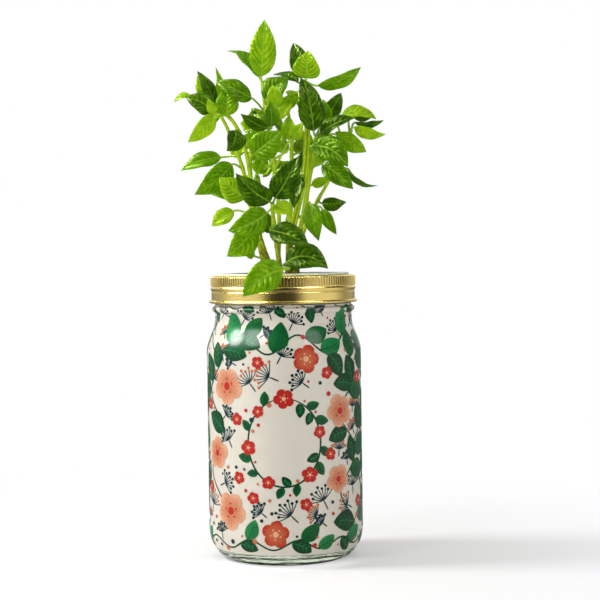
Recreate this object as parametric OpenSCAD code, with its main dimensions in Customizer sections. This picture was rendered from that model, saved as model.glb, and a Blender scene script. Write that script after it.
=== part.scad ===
// Herb garden jar: a wide-mouth glass jar with a printed skin, a gold screw band,
// a slotted cup of growing medium that lifts out of the mouth, and the herb rooted in it.
// The origin is the centre of the base, on the plane that the jar stands on. Front is -Y, up is +Z.

/* [Glass jar] */
// Height of the glass, base to rim
jar_h = 177; // [140:1:215]
// Outer diameter of the straight body
body_d = 97; // [80:1:116]
// Glass thickness of the body
glass_t = 3.2; // [2:0.1:4.5]
// Glass thickness of the floor
floor_t = 5; // [3:0.1:7]
// Bore of the mouth
mouth_d = 76; // [63:1:91]
// Glass thickness at the mouth
finish_t = 4; // [3:0.1:5]
// Outer diameter of the ring that the jar stands on
stand_d = 70; // [56:1:84]
// Width of the ring that the jar stands on
stand_w = 4; // [2:0.5:6]
// Height that the middle of the base is pushed up
push_up = 3; // [1:0.1:4]
// Height of the rounded heel
heel_h = 20; // [14:1:24]
// Height of the shoulder, body to neck
shoulder_h = 21; // [15:1:25]
// Height of the middle of the ring moulded round the neck, over the shoulder
neck_h = 6; // [4.5:0.1:7.5]
// How far that ring stands out of the neck
collar_r = 1.6; // [1:0.1:2.2]
// How far the neck stands out past the threaded finish
neck_step = 1.1; // [0.5:0.1:2]

/* [Screw thread] */
// Rise of the thread in one turn
thread_pitch = 5.08; // [4.2:0.01:6.1]
// Radius of the rounded thread on the glass
thread_r = 1; // [0.8:0.05:1.2]
// Radius of the rounded thread rolled into the band
bead_r = 0.9; // [0.7:0.05:1.1]
// Radial play between the glass thread and the root of the band's thread
thread_play = 0.7; // [0.3:0.05:1]
// Space between the glass thread and the band's wall
thread_gap = 1.65; // [1.3:0.05:2]

/* [Printed skin] */
// Thickness of the printed skin
skin_t = 0.25; // [0.15:0.05:0.5]
// Space between the skin and the glass
skin_gap = 0.05; // [0.02:0.01:0.1]
// Height of the print's lower edge over the base
skin_z = 8; // [6:0.5:10]

/* [Screw band] */
// Height of the band
band_h = 17.3; // [15:0.1:20.6]
// Sheet thickness of the band
band_t = 0.5; // [0.4:0.05:0.7]
// Radius of the band's rounded top edge
corner_r = 1.6; // [1.2:0.1:2]
// Radius of the smooth swell under the knurl
swell_r = 2; // [1.6:0.1:2.4]
// Radius of the groove pressed in under the swell
groove_r = 0.45; // [0.3:0.05:0.6]
// Height of that groove over the band's lower edge
groove_h = 7.2; // [6:0.1:8.6]
// Number of ribs in the band's knurl
knurl_count = 150; // [90:1:180]
// Depth of the knurl
knurl_depth = 0.4; // [0.2:0.05:0.6]
// Height of the knurled part
knurl_h = 4.6; // [3:0.1:5.5]
// Radius of the curl at the band's lower edge
curl_r = 1; // [0.7:0.05:1.3]

/* [Seal ring] */
// Thickness of the soft ring under the band's lip
ring_t = 1.5; // [1:0.1:2]

/* [Net cup] */
// Depth of the cup under its flange
cup_h = 55; // [45:1:66]
// Wall thickness of the cup
cup_t = 1.4; // [1:0.1:2]
// Outer diameter of the cup's floor
cup_foot_d = 56; // [46:1:66]
// Thickness of the cup's flange
flange_t = 1.2; // [0.8:0.1:1.6]
// How far the flange reaches over the band's lip
flange_seat = 3; // [2:0.1:4]
// Space between the cup and the mouth of the jar
cup_gap = 1.5; // [0.8:0.1:2.2]
// Number of slots round the cup in each tier
slot_count = 16; // [8:1:20]
// Width of a slot
slot_w = 3; // [2:0.1:4]
// Depth of the medium's top under the rim
headroom = 6; // [3:0.5:9]

/* [Herb] */
// Height at share 1, over the rim
plant_h = 159; // [130:1:190]
// Distance to the side at share 1, from the axis
plant_reach = 64; // [52:1:77]
// Diameter of the thickest stem at its foot
stem_d = 6; // [4.5:0.1:7.2]
// Thickness of a leaf along its midrib
leaf_t = 0.9; // [0.6:0.05:1.2]
// Thickness of a leaf stalk
stalk_d = 1.5; // [1.2:0.05:1.9]
// Length of the roots under the cup
root_len = 62; // [45:1:75]
// Diameter of a root where it leaves the cup
root_d = 2; // [1.4:0.1:2.4]

/* [Hidden] */
// The foliage is laid out as an eye sees it that stands this far in front of the axis, this high and
// this far to the right
view_distance = 1050;
view_height = 195;
view_side = 10.7;

$fn = 96;
// Overrun of a cut past the faces that it goes through
cut = 1;
// Space left between pieces that rest on each other and move apart
seat_gap = 0.1;
// Space round the medium in the cup
fill_gap = 0.3;
// Sides of a stem and of a root, rings along a root
stem_sides = 8;
root_sides = 6;
root_rings = 9;

body_r = body_d / 2;
mouth_r = mouth_d / 2;
finish_r = mouth_r + finish_t;
neck_r = finish_r + neck_step;
stand_r = stand_d / 2;
floor_z = push_up + floor_t;
// Angle under the level at which the heel's curve starts
heel_angle = 80;
// The threaded finish, the ring round the neck and the shoulder, counted down from the rim
finish_turns = 3;
finish_z = jar_h - finish_turns * thread_pitch;
skin_top = finish_z - band_t;
collar_z = skin_top - 2 * collar_r;
shoulder_z = collar_z - neck_h - shoulder_h;
// Radius of the rounding on the rim
rim_round = finish_t / 4;

// Height of the seal ring, the band's lip and the cup's rim
ring_z = jar_h + seat_gap;
lip_z = ring_z + ring_t + seat_gap;
band_top = lip_z + band_t;
band_z = band_top - band_h;
flange_z = band_top + seat_gap;
rim_z = flange_z + flange_t;

// Centre lines of the thread on the glass and of the bead in the band
thread_line_r = finish_r + thread_r * 0.4;
bead_line_r = finish_r + thread_play + bead_r;
wall_in_r = thread_line_r + thread_r + thread_gap;
wall_r = wall_in_r + band_t;
crown_r = wall_r + knurl_depth + band_t / 4;
lip_in_r = mouth_r + cup_gap * 0.7;
// The glass thread makes one and a half turns; the bead runs one turn, half a pitch under it
thread_z = finish_z + thread_pitch * 0.78;
// Angle by which each half turn stops short of the next one, as at the seams of a mould
seam_angle = 2;
thread_halves = 3;
bead_halves = 2;
bead_turn = 180;
bead_z = thread_z;
groove_z = band_z + groove_h;

cup_top_r = mouth_r - cup_gap;
cup_foot_r = cup_foot_d / 2;
cup_floor_z = flange_z - cup_h;
flange_r = lip_in_r + flange_seat;
medium_z = cup_floor_z + cup_t;
medium_top = rim_z - headroom;
crown_h = headroom / 4;
slot_h = cup_h * 0.34;
slot_tiers = 2;
hole_ring_r = cup_foot_r * 0.6;
hole_r = root_d * 1.6;
root_count = 8;
root_wander = root_d * 1.5;
// How far stems and roots reach into the medium, as a share of their own lengths
bury_share = 0.12;

// Girth of each stem at its foot, as a share of stem_d, and at its tip, as a share of its foot
stem_girth_shares = [0.66, 0.6, 0.7, 0.55, 1, 0.74, 0.54, 0.66, 0.62];
tip_girth_share = 0.6;

// The foliage's places are shares: right of the axis and away from the viewer in plant_reach,
// up from the rim in plant_h. Each stem is a smooth curve through its points.
stem_route_shares = [
    [[-0.10, -bury_share, -0.06], [-0.14, 0.03, -0.08], [-0.23, 0.16, -0.10], [-0.29, 0.30, -0.10],
        [-0.315, 0.41, -0.10], [-0.38, 0.53, -0.12], [-0.48, 0.61, -0.14], [-0.60, 0.65, -0.15]],
    [[-0.16, -bury_share, 0.06], [-0.19, 0.03, 0.06], [-0.27, 0.19, 0.05], [-0.34, 0.32, 0.04],
        [-0.385, 0.42, 0.03], [-0.50, 0.55, 0.02], [-0.58, 0.62, 0.01], [-0.64, 0.66, 0]],
    [[-0.02, -bury_share, -0.20], [-0.03, 0.02, -0.22], [-0.065, 0.135, -0.26],
        [-0.09, 0.235, -0.30], [-0.095, 0.28, -0.32]],
    [[-0.06, -bury_share, 0], [-0.045, 0.02, 0.02], [-0.03, 0.22, 0.05], [-0.06, 0.40, 0.04],
        [-0.11, 0.54, 0], [-0.155, 0.66, -0.02], [-0.18, 0.77, -0.02]],
    [[0.09, -bury_share, -0.04], [0.083, 0, -0.04], [0.07, 0.11, -0.04], [0.14, 0.236, -0.04],
        [0.225, 0.38, -0.03], [0.26, 0.53, 0], [0.255, 0.65, 0.03], [0.235, 0.765, 0.05]],
    [[0.15, -bury_share, 0.10], [0.14, 0.03, 0.10], [0.165, 0.14, 0.10], [0.22, 0.25, 0.09],
        [0.27, 0.36, 0.08], [0.32, 0.485, 0.06], [0.36, 0.555, 0.05]],
    [[0.12, -bury_share, 0.24], [0.13, 0.03, 0.24], [0.22, 0.17, 0.22], [0.36, 0.29, 0.18],
        [0.46, 0.36, 0.14], [0.60, 0.48, 0.10], [0.70, 0.56, 0.06]],
    [[0.05, -bury_share, 0.34], [0.05, 0.03, 0.36], [0.08, 0.20, 0.42], [0.10, 0.38, 0.46],
        [0.10, 0.55, 0.46], [0.06, 0.68, 0.42]],
    [[-0.14, -bury_share, 0.22], [-0.16, 0.03, 0.26], [-0.24, 0.18, 0.34], [-0.30, 0.34, 0.40],
        [-0.30, 0.50, 0.42], [-0.26, 0.62, 0.40]]
];

// The leaf that hangs over the band stays this share in front of the axis
over_band_share = (crown_r + 2 * leaf_t + curl_r) / plant_reach;

// Each leaf: the point of the stem's route that it grows from, the place where its blade starts,
// the place of its tip, the blade's width as a share of plant_reach, the turn of its face away
// from the viewer in degrees, and the rise of its midrib out of its face and in its face, as
// shares of its length.
leaf_shares = [
    [
        [6.2, -0.53, 0.63, -0.20, -0.55, 0.735, -0.16, 0.24, 15, 0.10, 0],
        [6.65, -0.66, 0.635, -0.26, -0.925, 0.525, -0.30, 0.18, -25, 0.12, 0],
        [6.9, -0.64, 0.675, -0.10, -0.82, 0.81, -0.12, 0.16, 40, 0.05, 0],
        [6.8, -0.67, 0.65, -0.20, -0.945, 0.71, -0.27, 0.22, 20, 0.15, 0],
        [6.5, -0.66, 0.64, -0.35, -0.72, 0.70, -0.42, 0.10, 0, 0.10, 0],
        [5.4, -0.45, 0.57, -0.20, -0.54, 0.49, -0.28, 0.22, -20, 0.10, 0.10],
        [4.1, -0.28, 0.475, -0.30, 0, 0.565, -0.36, 0.30, 10, 0.10, 0],
        [3, -0.36, 0.30, -0.16, -0.62, 0.385, -0.22, 0.26, -10, 0.12, 0],
        [2.4, -0.48, 0.25, -0.06, -0.70, 0.19, -0.06, 0.18, 30, 0.10, 0],
        [2.2, -0.28, 0.175, -0.28, -0.55, 0.065, -0.38, 0.28, -15, 0.12, 0],
        [1.2, -0.28, 0.07, -0.16, -0.40, 0.095, -0.22, 0.12, 20, 0.10, 0]
    ],
    [
        [6.9, -0.70, 0.69, 0.11, -0.81, 0.80, 0.13, 0.20, 10, 0.10, 0],
        [6.6, -0.62, 0.685, 0.02, -0.63, 0.825, 0.06, 0.13, 45, 0.05, 0],
        [6.55, -0.90, 0.715, -0.05, -1.06, 0.688, 0, 0.10, 50, 0.10, 0],
        [4.4, -0.60, 0.465, 0.08, -1, 0.415, 0.10, 0.20, 25, 0.14, 0],
        [4, -0.49, 0.435, -0.02, -0.865, 0.315, -0.16, 0.27, -20, 0.14, 0],
        [2.8, -0.46, 0.30, 0.06, -0.71, 0.32, 0.06, 0.10, 30, 0.10, 0],
        [5, -0.40, 0.50, 0.12, -0.28, 0.56, 0.16, 0.14, 10, 0.10, 0],
        [6.2, -0.60, 0.64, 0.14, -0.68, 0.66, 0.38, 0.24, 190, 0.14, 0]
    ],
    [
        [3.85, -0.12, 0.285, -0.36, -0.455, 0.40, -0.50, 0.27, -20, 0.12, 0],
        [3.8, -0.065, 0.30, -0.34, 0.165, 0.465, -0.46, 0.28, 15, 0.12, 0],
        [3.6, -0.07, 0.27, -0.39, 0.10, 0.23, -0.46, 0.18, -20, 0.15, 0],
        [3.5, -0.15, 0.24, -0.36, -0.54, 0.17, -0.50, 0.28, -25, 0.14, 0],
        [2.6, -0.11, 0.17, -0.36, 0.27, 0.105, -0.48, 0.28, -30, 0.10, 0],
        [1, 0, 0.012, -over_band_share, -0.40, -0.095, -over_band_share - 0.12, 0.30, -10, 0.10, -0.12]
    ],
    [
        [5.85, -0.19, 0.785, -0.03, -0.145, 1.012, -0.08, 0.27, 5, 0.06, 0],
        [5.7, -0.21, 0.785, 0.05, -0.51, 0.896, 0.14, 0.24, 50, 0.10, 0],
        [4.8, -0.29, 0.70, -0.10, -0.64, 0.776, -0.16, 0.22, 30, 0.14, 0.10],
        [5.5, -0.15, 0.69, -0.06, 0.08, 0.785, -0.04, 0.26, -15, 0.12, 0],
        [5.05, -0.04, 0.67, -0.19, -0.085, 0.75, -0.23, 0.16, 10, 0.10, 0],
        [4.9, 0, 0.66, -0.06, 0.19, 0.715, -0.08, 0.14, 20, 0.10, 0],
        [4.6, -0.09, 0.585, -0.22, -0.11, 0.685, -0.28, 0.16, 15, 0.10, 0],
        [4.8, -0.02, 0.615, -0.12, 0.125, 0.68, -0.10, 0.14, -30, 0.10, 0],
        [4.3, -0.13, 0.58, -0.10, -0.40, 0.636, -0.16, 0.15, -25, 0.12, 0],
        [3.3, -0.25, 0.40, 0.10, -0.15, 0.468, 0.12, 0.17, 0, 0.10, 0],
        [4.5, -0.35, 0.58, 0.14, -0.27, 0.64, 0.16, 0.14, 20, 0.10, 0],
        [4.2, -0.24, 0.54, 0.26, -0.235, 0.64, 0.28, 0.13, 10, 0.10, 0],
        [3.35, 0.12, 0.53, -0.06, 0.07, 0.63, -0.10, 0.18, -15, 0.15, 0],
        [3.1, 0.10, 0.535, -0.20, 0.22, 0.60, -0.30, 0.14, 10, 0.15, 0],
        [1.6, -0.12, 0.16, 0.10, -0.20, 0.256, 0.12, 0.16, 10, 0.10, 0],
        [3, -0.10, 0.42, 0.16, -0.16, 0.44, 0.44, 0.24, 185, 0.14, 0],
        [4.75, -0.06, 0.60, 0.14, 0, 0.62, 0.40, 0.24, 175, 0.14, 0]
    ],
    [
        [7, 0.21, 0.775, 0.16, 0.135, 0.92, 0.22, 0.21, 20, 0.08, 0],
        [7, 0.26, 0.775, -0.02, 0.28, 0.885, -0.12, 0.28, 0, 0.10, 0],
        [7, 0.375, 0.745, 0.05, 0.81, 0.816, 0.10, 0.18, 55, 0.14, 0.05],
        [6.7, 0.18, 0.76, 0.02, -0.07, 0.79, 0.12, 0.16, 50, 0.10, 0],
        [4, 0.185, 0.385, -0.16, 0.11, 0.256, -0.24, 0.17, 15, 0.08, 0],
        [1.3, 0.03, 0.04, -0.30, 0.455, 0.016, -0.46, 0.30, -20, 0.14, 0.15],
        [4.6, 0.20, 0.41, 0.16, 0.27, 0.505, 0.18, 0.15, 0, 0.10, 0],
        [5, 0.27, 0.53, 0.12, 0.30, 0.55, 0.40, 0.24, 175, 0.14, 0],
        [6.2, 0.26, 0.68, 0.12, 0.31, 0.70, 0.38, 0.23, 170, 0.14, 0]
    ],
    [
        [6, 0.325, 0.565, -0.18, 0.22, 0.785, -0.14, 0.29, 15, 0.10, 0],
        [5.8, 0.44, 0.615, 0.15, 0.605, 0.716, 0.18, 0.18, 20, 0.10, 0],
        [5.7, 0.45, 0.60, 0.01, 0.42, 0.692, -0.02, 0.17, -15, 0.10, 0],
        [5.5, 0.39, 0.552, -0.08, 0.745, 0.615, -0.18, 0.20, -35, 0.12, 0],
        [5.6, 0.55, 0.548, 0.04, 0.85, 0.475, 0.06, 0.19, 25, 0.12, 0.05],
        [5, 0.31, 0.505, -0.18, 0.66, 0.42, -0.32, 0.28, -20, 0.12, 0.10],
        [4.4, 0.41, 0.43, -0.12, 0.715, 0.33, -0.20, 0.21, -15, 0.12, 0],
        [2.6, 0.28, 0.275, -0.10, 0.36, 0.125, -0.18, 0.20, 10, 0.10, 0],
        [3.4, 0.30, 0.35, 0.13, 0.465, 0.38, 0.12, 0.11, 20, 0.10, 0]
    ],
    [
        [5.3, 0.60, 0.625, 0, 0.955, 0.61, -0.04, 0.18, -40, 0.15, 0.06],
        [5.75, 0.72, 0.635, 0.15, 0.93, 0.62, 0.16, 0.15, 20, 0.12, 0],
        [5.9, 0.74, 0.595, 0.03, 1.02, 0.604, 0.04, 0.12, 70, 0.10, 0],
        [5.65, 0.73, 0.575, -0.04, 1.04, 0.545, -0.04, 0.16, 40, 0.12, 0],
        [4.4, 0.66, 0.41, 0.08, 0.95, 0.34, 0.06, 0.13, 70, 0.20, 0.15],
        [3, 0.40, 0.276, 0.10, 0.64, 0.28, 0.10, 0.16, 20, 0.12, 0],
        [2.7, 0.40, 0.252, 0.04, 0.54, 0.15, 0.04, 0.13, 15, 0.10, 0],
        [5.6, 0.66, 0.55, 0.16, 0.70, 0.56, 0.44, 0.24, 170, 0.14, 0],
        [4.6, 0.56, 0.47, 0.20, 0.62, 0.45, 0.46, 0.24, 170, 0.14, 0]
    ],
    [
        [4.9, 0.14, 0.70, 0.50, 0.26, 0.72, 0.74, 0.26, 170, 0.12, 0],
        [4.8, -0.02, 0.65, 0.52, -0.14, 0.71, 0.74, 0.26, 190, 0.12, 0],
        [4, 0.16, 0.54, 0.56, 0.34, 0.50, 0.82, 0.27, 165, 0.14, 0],
        [4, 0.04, 0.54, 0.56, -0.12, 0.50, 0.80, 0.27, 195, 0.14, 0],
        [3, 0.10, 0.385, 0.58, 0.12, 0.30, 0.84, 0.26, 180, 0.16, 0],
        [3.15, 0.02, 0.42, 0.54, -0.12, 0.45, 0.80, 0.24, 200, 0.14, 0],
        [2, 0.08, 0.22, 0.52, 0.06, 0.24, 0.78, 0.22, 180, 0.14, 0],
        [3.5, 0.22, 0.48, 0.56, 0.50, 0.47, 0.72, 0.26, 160, 0.12, 0]
    ],
    [
        [4.75, -0.34, 0.61, 0.46, -0.40, 0.60, 0.72, 0.26, 190, 0.14, 0],
        [4.9, -0.20, 0.63, 0.50, -0.10, 0.64, 0.74, 0.26, 170, 0.14, 0],
        [4.1, -0.34, 0.50, 0.50, -0.52, 0.53, 0.70, 0.26, 200, 0.12, 0],
        [4, -0.26, 0.50, 0.52, -0.16, 0.46, 0.78, 0.27, 175, 0.14, 0],
        [3.1, -0.34, 0.35, 0.48, -0.50, 0.34, 0.70, 0.27, 195, 0.14, 0],
        [3, -0.26, 0.35, 0.50, -0.18, 0.33, 0.76, 0.26, 175, 0.14, 0],
        [2.05, -0.28, 0.20, 0.42, -0.42, 0.18, 0.62, 0.25, 200, 0.14, 0],
        [1.8, -0.16, 0.20, 0.42, -0.10, 0.22, 0.68, 0.22, 170, 0.14, 0]
    ]
];

// Rings of a leaf: shares of the stalk's length, then of the blade's
stalk_shares = [0, 0.4, 0.8];
blade_shares = [0, 0.12, 0.28, 0.46, 0.64, 0.82, 0.94, 1];
// Slope of the blade's halves up from the midrib, in degrees
leaf_fold = 18;

// Points of an arc of an ellipse round c, with half axes a and b
function arc(c, a, b, from, to, steps) =
    [for (i = [0 : steps]) let (q = from + (to - from) * i / steps) c + [a * cos(q), b * sin(q)]];

// Points of an S-curve from one point up to another
function s_curve(from, to, steps) =
    [for (i = [0 : steps]) let (q = i / steps)
        [(from[0] + to[0]) / 2 + (from[0] - to[0]) / 2 * cos(180 * q), from[1] + (to[1] - from[1]) * q]];

function backwards(points) = [for (i = [len(points) - 1 : -1 : 0]) points[i]];

// Outside of the jar from the print's lower edge to its upper edge, moved out by off
function skin_line(off) = let (lift = asin(1 - skin_z / heel_h)) concat(
    arc([stand_r, heel_h], body_r - stand_r + off, heel_h, -lift, 0, 5),
    s_curve([body_r + off, shoulder_z], [neck_r + off, shoulder_z + shoulder_h], 10),
    arc([neck_r, collar_z], collar_r + off, collar_r + off, -90, 90, 8),
    [[neck_r + off, skin_top]]);

module glass_line() {
    polygon(concat(
        [[0, push_up], [stand_r - stand_w * 2.5, push_up], [stand_r - stand_w, 0], [stand_r, 0]],
        arc([stand_r, heel_h], body_r - stand_r, heel_h, -heel_angle, 0, 8),
        s_curve([body_r, shoulder_z], [neck_r, shoulder_z + shoulder_h], 10),
        arc([neck_r, collar_z], collar_r, collar_r, -90, 90, 8),
        [[neck_r, finish_z - neck_step / 2], [finish_r, finish_z + neck_step / 2]],
        arc([finish_r - rim_round, jar_h - rim_round], rim_round, rim_round, 0, 90, 4),
        arc([mouth_r + rim_round, jar_h - rim_round], rim_round, rim_round, 90, 180, 4),
        backwards(s_curve([body_r - glass_t, shoulder_z - glass_t], [mouth_r, collar_z], 10)),
        backwards(arc([stand_r, floor_z + heel_h * 0.7], body_r - glass_t - stand_r, heel_h * 0.7,
            -heel_angle, 0, 6)),
        [[stand_r - stand_w, floor_z], [0, floor_z]]));
}

// Half turns of a rounded thread that rises anticlockwise from angle zero. Each half is a tilted
// half ring, and the line from one to the next is smooth, but for the break at the seam.
module thread(line_r, halves) {
    tilt = asin(thread_pitch / 4 / line_r);
    for (k = [0 : halves - 1])
        translate([0, 0, thread_pitch / 2 * (k + 0.5)])
            rotate([0, 0, 90 + 180 * k])
                rotate([tilt, 0, 0])
                    rotate([0, 0, seam_angle - 90])
                        rotate_extrude(angle = 180 - 2 * seam_angle)
                            translate([line_r, 0]) children();
}

module glass_jar() {
    color([0.80, 0.88, 0.83, 0.6]) union() {
        rotate_extrude() glass_line();
        translate([0, 0, thread_z]) thread(thread_line_r, thread_halves) circle(thread_r, $fn = 32);
    }
}

module printed_skin() {
    color([0.86, 0.83, 0.78]) rotate_extrude()
        polygon(concat(skin_line(skin_gap + skin_t), backwards(skin_line(skin_gap))));
}

module band_line() {
    difference() {
        union() {
            translate([wall_in_r, band_z + curl_r])
                square([band_t, band_h - curl_r - corner_r]);
            translate([lip_in_r, lip_z]) square([wall_r - corner_r - lip_in_r, band_t]);
            intersection() {
                translate([wall_r - corner_r, band_top - corner_r]) difference() {
                    circle(corner_r);
                    circle(corner_r - band_t);
                }
                translate([wall_r - corner_r, band_top - corner_r]) square(corner_r);
            }
            intersection() {
                translate([crown_r - swell_r, groove_z + swell_r]) circle(swell_r);
                translate([wall_in_r, groove_z]) square([swell_r, swell_r * 2]);
            }
            translate([wall_r + curl_r * 0.45, band_z + curl_r]) circle(curl_r);
        }
        translate([wall_r + groove_r / 2, groove_z]) circle(groove_r);
    }
}

module knurl() {
    step = 360 / knurl_count;
    translate([0, 0, band_top - corner_r - knurl_h]) difference() {
        linear_extrude(knurl_h + corner_r / 2)
            polygon([for (i = [0 : knurl_count - 1], q = [0, 0.3, 0.5, 0.8])
                let (a = (i + q) * step, r = q == 0 || q == 0.3 ? crown_r : crown_r - knurl_depth)
                [r * cos(a), r * sin(a)]]);
        translate([0, 0, -cut]) cylinder(h = knurl_h + corner_r + 2 * cut, r = wall_r - band_t / 2);
    }
}

module screw_band() {
    color([0.80, 0.70, 0.42]) union() {
        rotate_extrude() band_line();
        knurl();
        translate([0, 0, bead_z]) rotate([0, 0, bead_turn]) thread(bead_line_r, bead_halves) {
            circle(bead_r, $fn = 32);
            translate([0, -bead_r * 0.9])
                square([wall_in_r - bead_line_r + band_t / 2, bead_r * 1.8]);
        }
    }
}

module seal_ring() {
    color([0.88, 0.88, 0.85]) translate([0, 0, ring_z]) difference() {
        cylinder(h = ring_t, r = finish_r + thread_r);
        translate([0, 0, -cut]) cylinder(h = ring_t + 2 * cut, r = lip_in_r);
    }
}

module cup_line() {
    edge = flange_t / 2;
    polygon([
        [0, cup_floor_z], [cup_foot_r, cup_floor_z], [cup_top_r, flange_z], [flange_r - edge, flange_z],
        [flange_r - edge, rim_z], [cup_top_r - cup_t - edge, rim_z],
        [cup_top_r - cup_t - edge / 2, flange_z], [cup_foot_r - cup_t, medium_z], [0, medium_z]
    ]);
    translate([flange_r - edge, flange_z + edge]) circle(edge);
}

module net_cup() {
    tier_z = cup_h * 0.46;
    color([0.74, 0.80, 0.76]) difference() {
        rotate_extrude() cup_line();
        for (tier = [0 : slot_tiers - 1], i = [0 : slot_count - 1])
            rotate([0, 0, (i + tier / 2) * 360 / slot_count])
                translate([cup_foot_r / 2, -slot_w / 2, cup_floor_z + cup_h * 0.1 + tier * tier_z])
                    cube([cup_top_r, slot_w, slot_h]);
        translate([0, 0, cup_floor_z - cut]) {
            cylinder(h = cup_t + 2 * cut, r = hole_r);
            for (i = [0 : root_count - 1])
                rotate([0, 0, i * 360 / root_count])
                    translate([hole_ring_r, 0, 0]) cylinder(h = cup_t + 2 * cut, r = hole_r);
        }
    }
}

module growing_medium() {
    slope = (cup_top_r - cup_foot_r) / cup_h;
    low_r = cup_foot_r - cup_t - fill_gap;
    top_r = low_r + slope * (medium_top - medium_z);
    color([0.25, 0.17, 0.11]) rotate_extrude() polygon([
        [0, medium_z + seat_gap], [low_r, medium_z + seat_gap], [top_r, medium_top],
        [top_r * 0.8, medium_top + crown_h * 0.6], [top_r * 0.4, medium_top + crown_h],
        [0, medium_top + crown_h]
    ]);
}

function unit(v) = v / norm(v);

// Triangles of a tube that has the given number of rings and of points in each
function tube_faces(rings, sides) = concat(
    [for (k = [0 : rings - 2], s = [0 : sides - 1])
        let (a = k * sides + s, b = k * sides + (s + 1) % sides) each
            [[a, a + sides, b], [b, a + sides, b + sides]]],
    [for (s = [1 : sides - 2]) [0, s, s + 1]],
    [for (s = [1 : sides - 2]) let (z = (rings - 1) * sides) [z, z + s + 1, z + s]]);

// One ring of a round tube, square to the direction along
function ring(centre, along, r, sides) =
    let (across = unit(cross([0, 1, 0], along)), up = cross(along, across))
    [for (s = [0 : sides - 1]) centre + r * (across * cos(360 * s / sides) + up * sin(360 * s / sides))];

// The real place of a point of the foliage, given in shares as the eye sees it
function seen(p) = let (
    eye = [view_side, -view_distance, view_height],
    flat = [p[0] * plant_reach, 0, rim_z + p[1] * plant_h])
    eye + (flat - eye) * (view_distance + p[2] * plant_reach) / view_distance;

// Point u of the smooth curve through the points of a route
function route_point(route, u) = let (
    last = len(route) - 1, k = min(floor(u), last - 1), t = u - k,
    a = route[max(k - 1, 0)], b = route[k], c = route[k + 1], d = route[min(k + 2, last)])
    b + (c - a) * t / 2 + (a - 2.5 * b + 2 * c - d / 2) * t * t
        + (1.5 * b - a / 2 - 1.5 * c + d / 2) * t * t * t;

function stem_point(i, u) = seen(route_point(stem_route_shares[i], u));

// Radius of stem i at point u of its route
function stem_r(i, u) = let (v = u / (len(stem_route_shares[i]) - 1))
    stem_girth_shares[i] * stem_d / 2 * (1 - v + v * tip_girth_share);

module stem(i) {
    last = len(stem_route_shares[i]) - 1;
    rings = 2 * last + 1;
    color([0.52, 0.62, 0.22]) polyhedron(
        [for (k = [0 : rings - 1]) let (u = k / 2)
            each ring(stem_point(i, u),
                unit(stem_point(i, min(u + 0.1, last)) - stem_point(i, max(u - 0.1, 0))),
                stem_r(i, u), stem_sides)],
        tube_faces(rings, stem_sides));
}

// A vector carried along as one direction swings to another
function swing(v, from, to) = v - (from + to) * (v * (from + to)) / (1 + from * to) + 2 * to * (v * from);

// Width of a blade along its length, as a share of its full width
function blade_width_share(u) = 3 * pow(u, 0.64) * pow(1 - u, 1.02);

function leaf_ring(centre, along, axis, face, half, thick, fold) = let (
    n = swing(face, axis, along), s = cross(n, along), lift = half * tan(fold))
    [centre + s * half + n * lift, centre + n * thick, centre - s * half + n * lift, centre - n * thick];

// A leaf with its stalk, as one swept body of flat diamond sections. The stalk grows out of the
// stem's side.
module leaf(i, p) {
    inside = stem_point(i, p[0]);
    base = seen([p[1], p[2], p[3]]);
    root = inside + unit(base - inside) * min(stem_r(i, p[0]) * 0.9, norm(base - inside) / 2);
    tip = seen([p[4], p[5], p[6]]);
    width = p[7] * plant_reach;
    reach = norm(tip - base);
    axis = unit(tip - base);
    front = unit([0, -1, 0] + axis * axis[1]);
    face = front * cos(p[8]) + cross(axis, front) * sin(p[8]);
    side = cross(face, axis);
    arch = 4 * (face * p[9] + side * p[10]);
    start = unit(axis + arch);
    bend = base - start * norm(base - root) * 0.35;
    stalk = [for (v = stalk_shares)
        let (along = unit((bend - root) * (1 - v) + (base - bend) * v))
        each leaf_ring(root * (1 - v) * (1 - v) + 2 * bend * v * (1 - v) + base * v * v,
            along, axis, face, stalk_d / 2, stalk_d / 2, 0)];
    blade = [for (u = blade_shares)
        each leaf_ring(base + axis * reach * u + arch * reach * u * (1 - u), unit(axis + arch * (1 - 2 * u)),
            axis, face, max(width / 2 * blade_width_share(u), u == 1 ? leaf_t / 5 : stalk_d / 2),
            (stalk_d * (1 - u) * (1 - u) + leaf_t * u) / 2 * (1 - 0.7 * pow(u, 4)),
            u == 0 ? 0 : leaf_fold)];
    polyhedron(concat(stalk, blade), tube_faces(len(stalk_shares) + len(blade_shares), 4));
}

module leaves(i) {
    color([0.28, 0.50, 0.08]) for (p = leaf_shares[i]) leaf(i, p);
}

// A root leaves the medium through its hole in the cup's floor and wanders down
module root(i) {
    spin = i * 360 / root_count;
    out = i == root_count ? 0 : hole_ring_r;
    reach = root_len * (0.82 + 0.18 * cos(137 * i));
    top = medium_z + cup_h * bury_share;
    straight = top - cup_floor_z + root_d;
    function place(v) = let (drop = v * (reach + straight), loose = max(drop - straight, 0) / reach,
        r = out * (1 - 0.3 * loose) + root_wander * loose * sin(300 * loose + 80 * i),
        a = spin + 40 * loose * sin(200 * loose + 50 * i))
        [r * cos(a), r * sin(a), top - drop];
    polyhedron(
        [for (k = [0 : root_rings - 1]) let (v = k / (root_rings - 1))
            each ring(place(v), [0, 0, -1], root_d / 2 * (1 - 0.6 * v), root_sides)],
        tube_faces(root_rings, root_sides));
}

module roots() {
    color([0.90, 0.86, 0.74]) for (i = [0 : root_count]) root(i);
}

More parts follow.
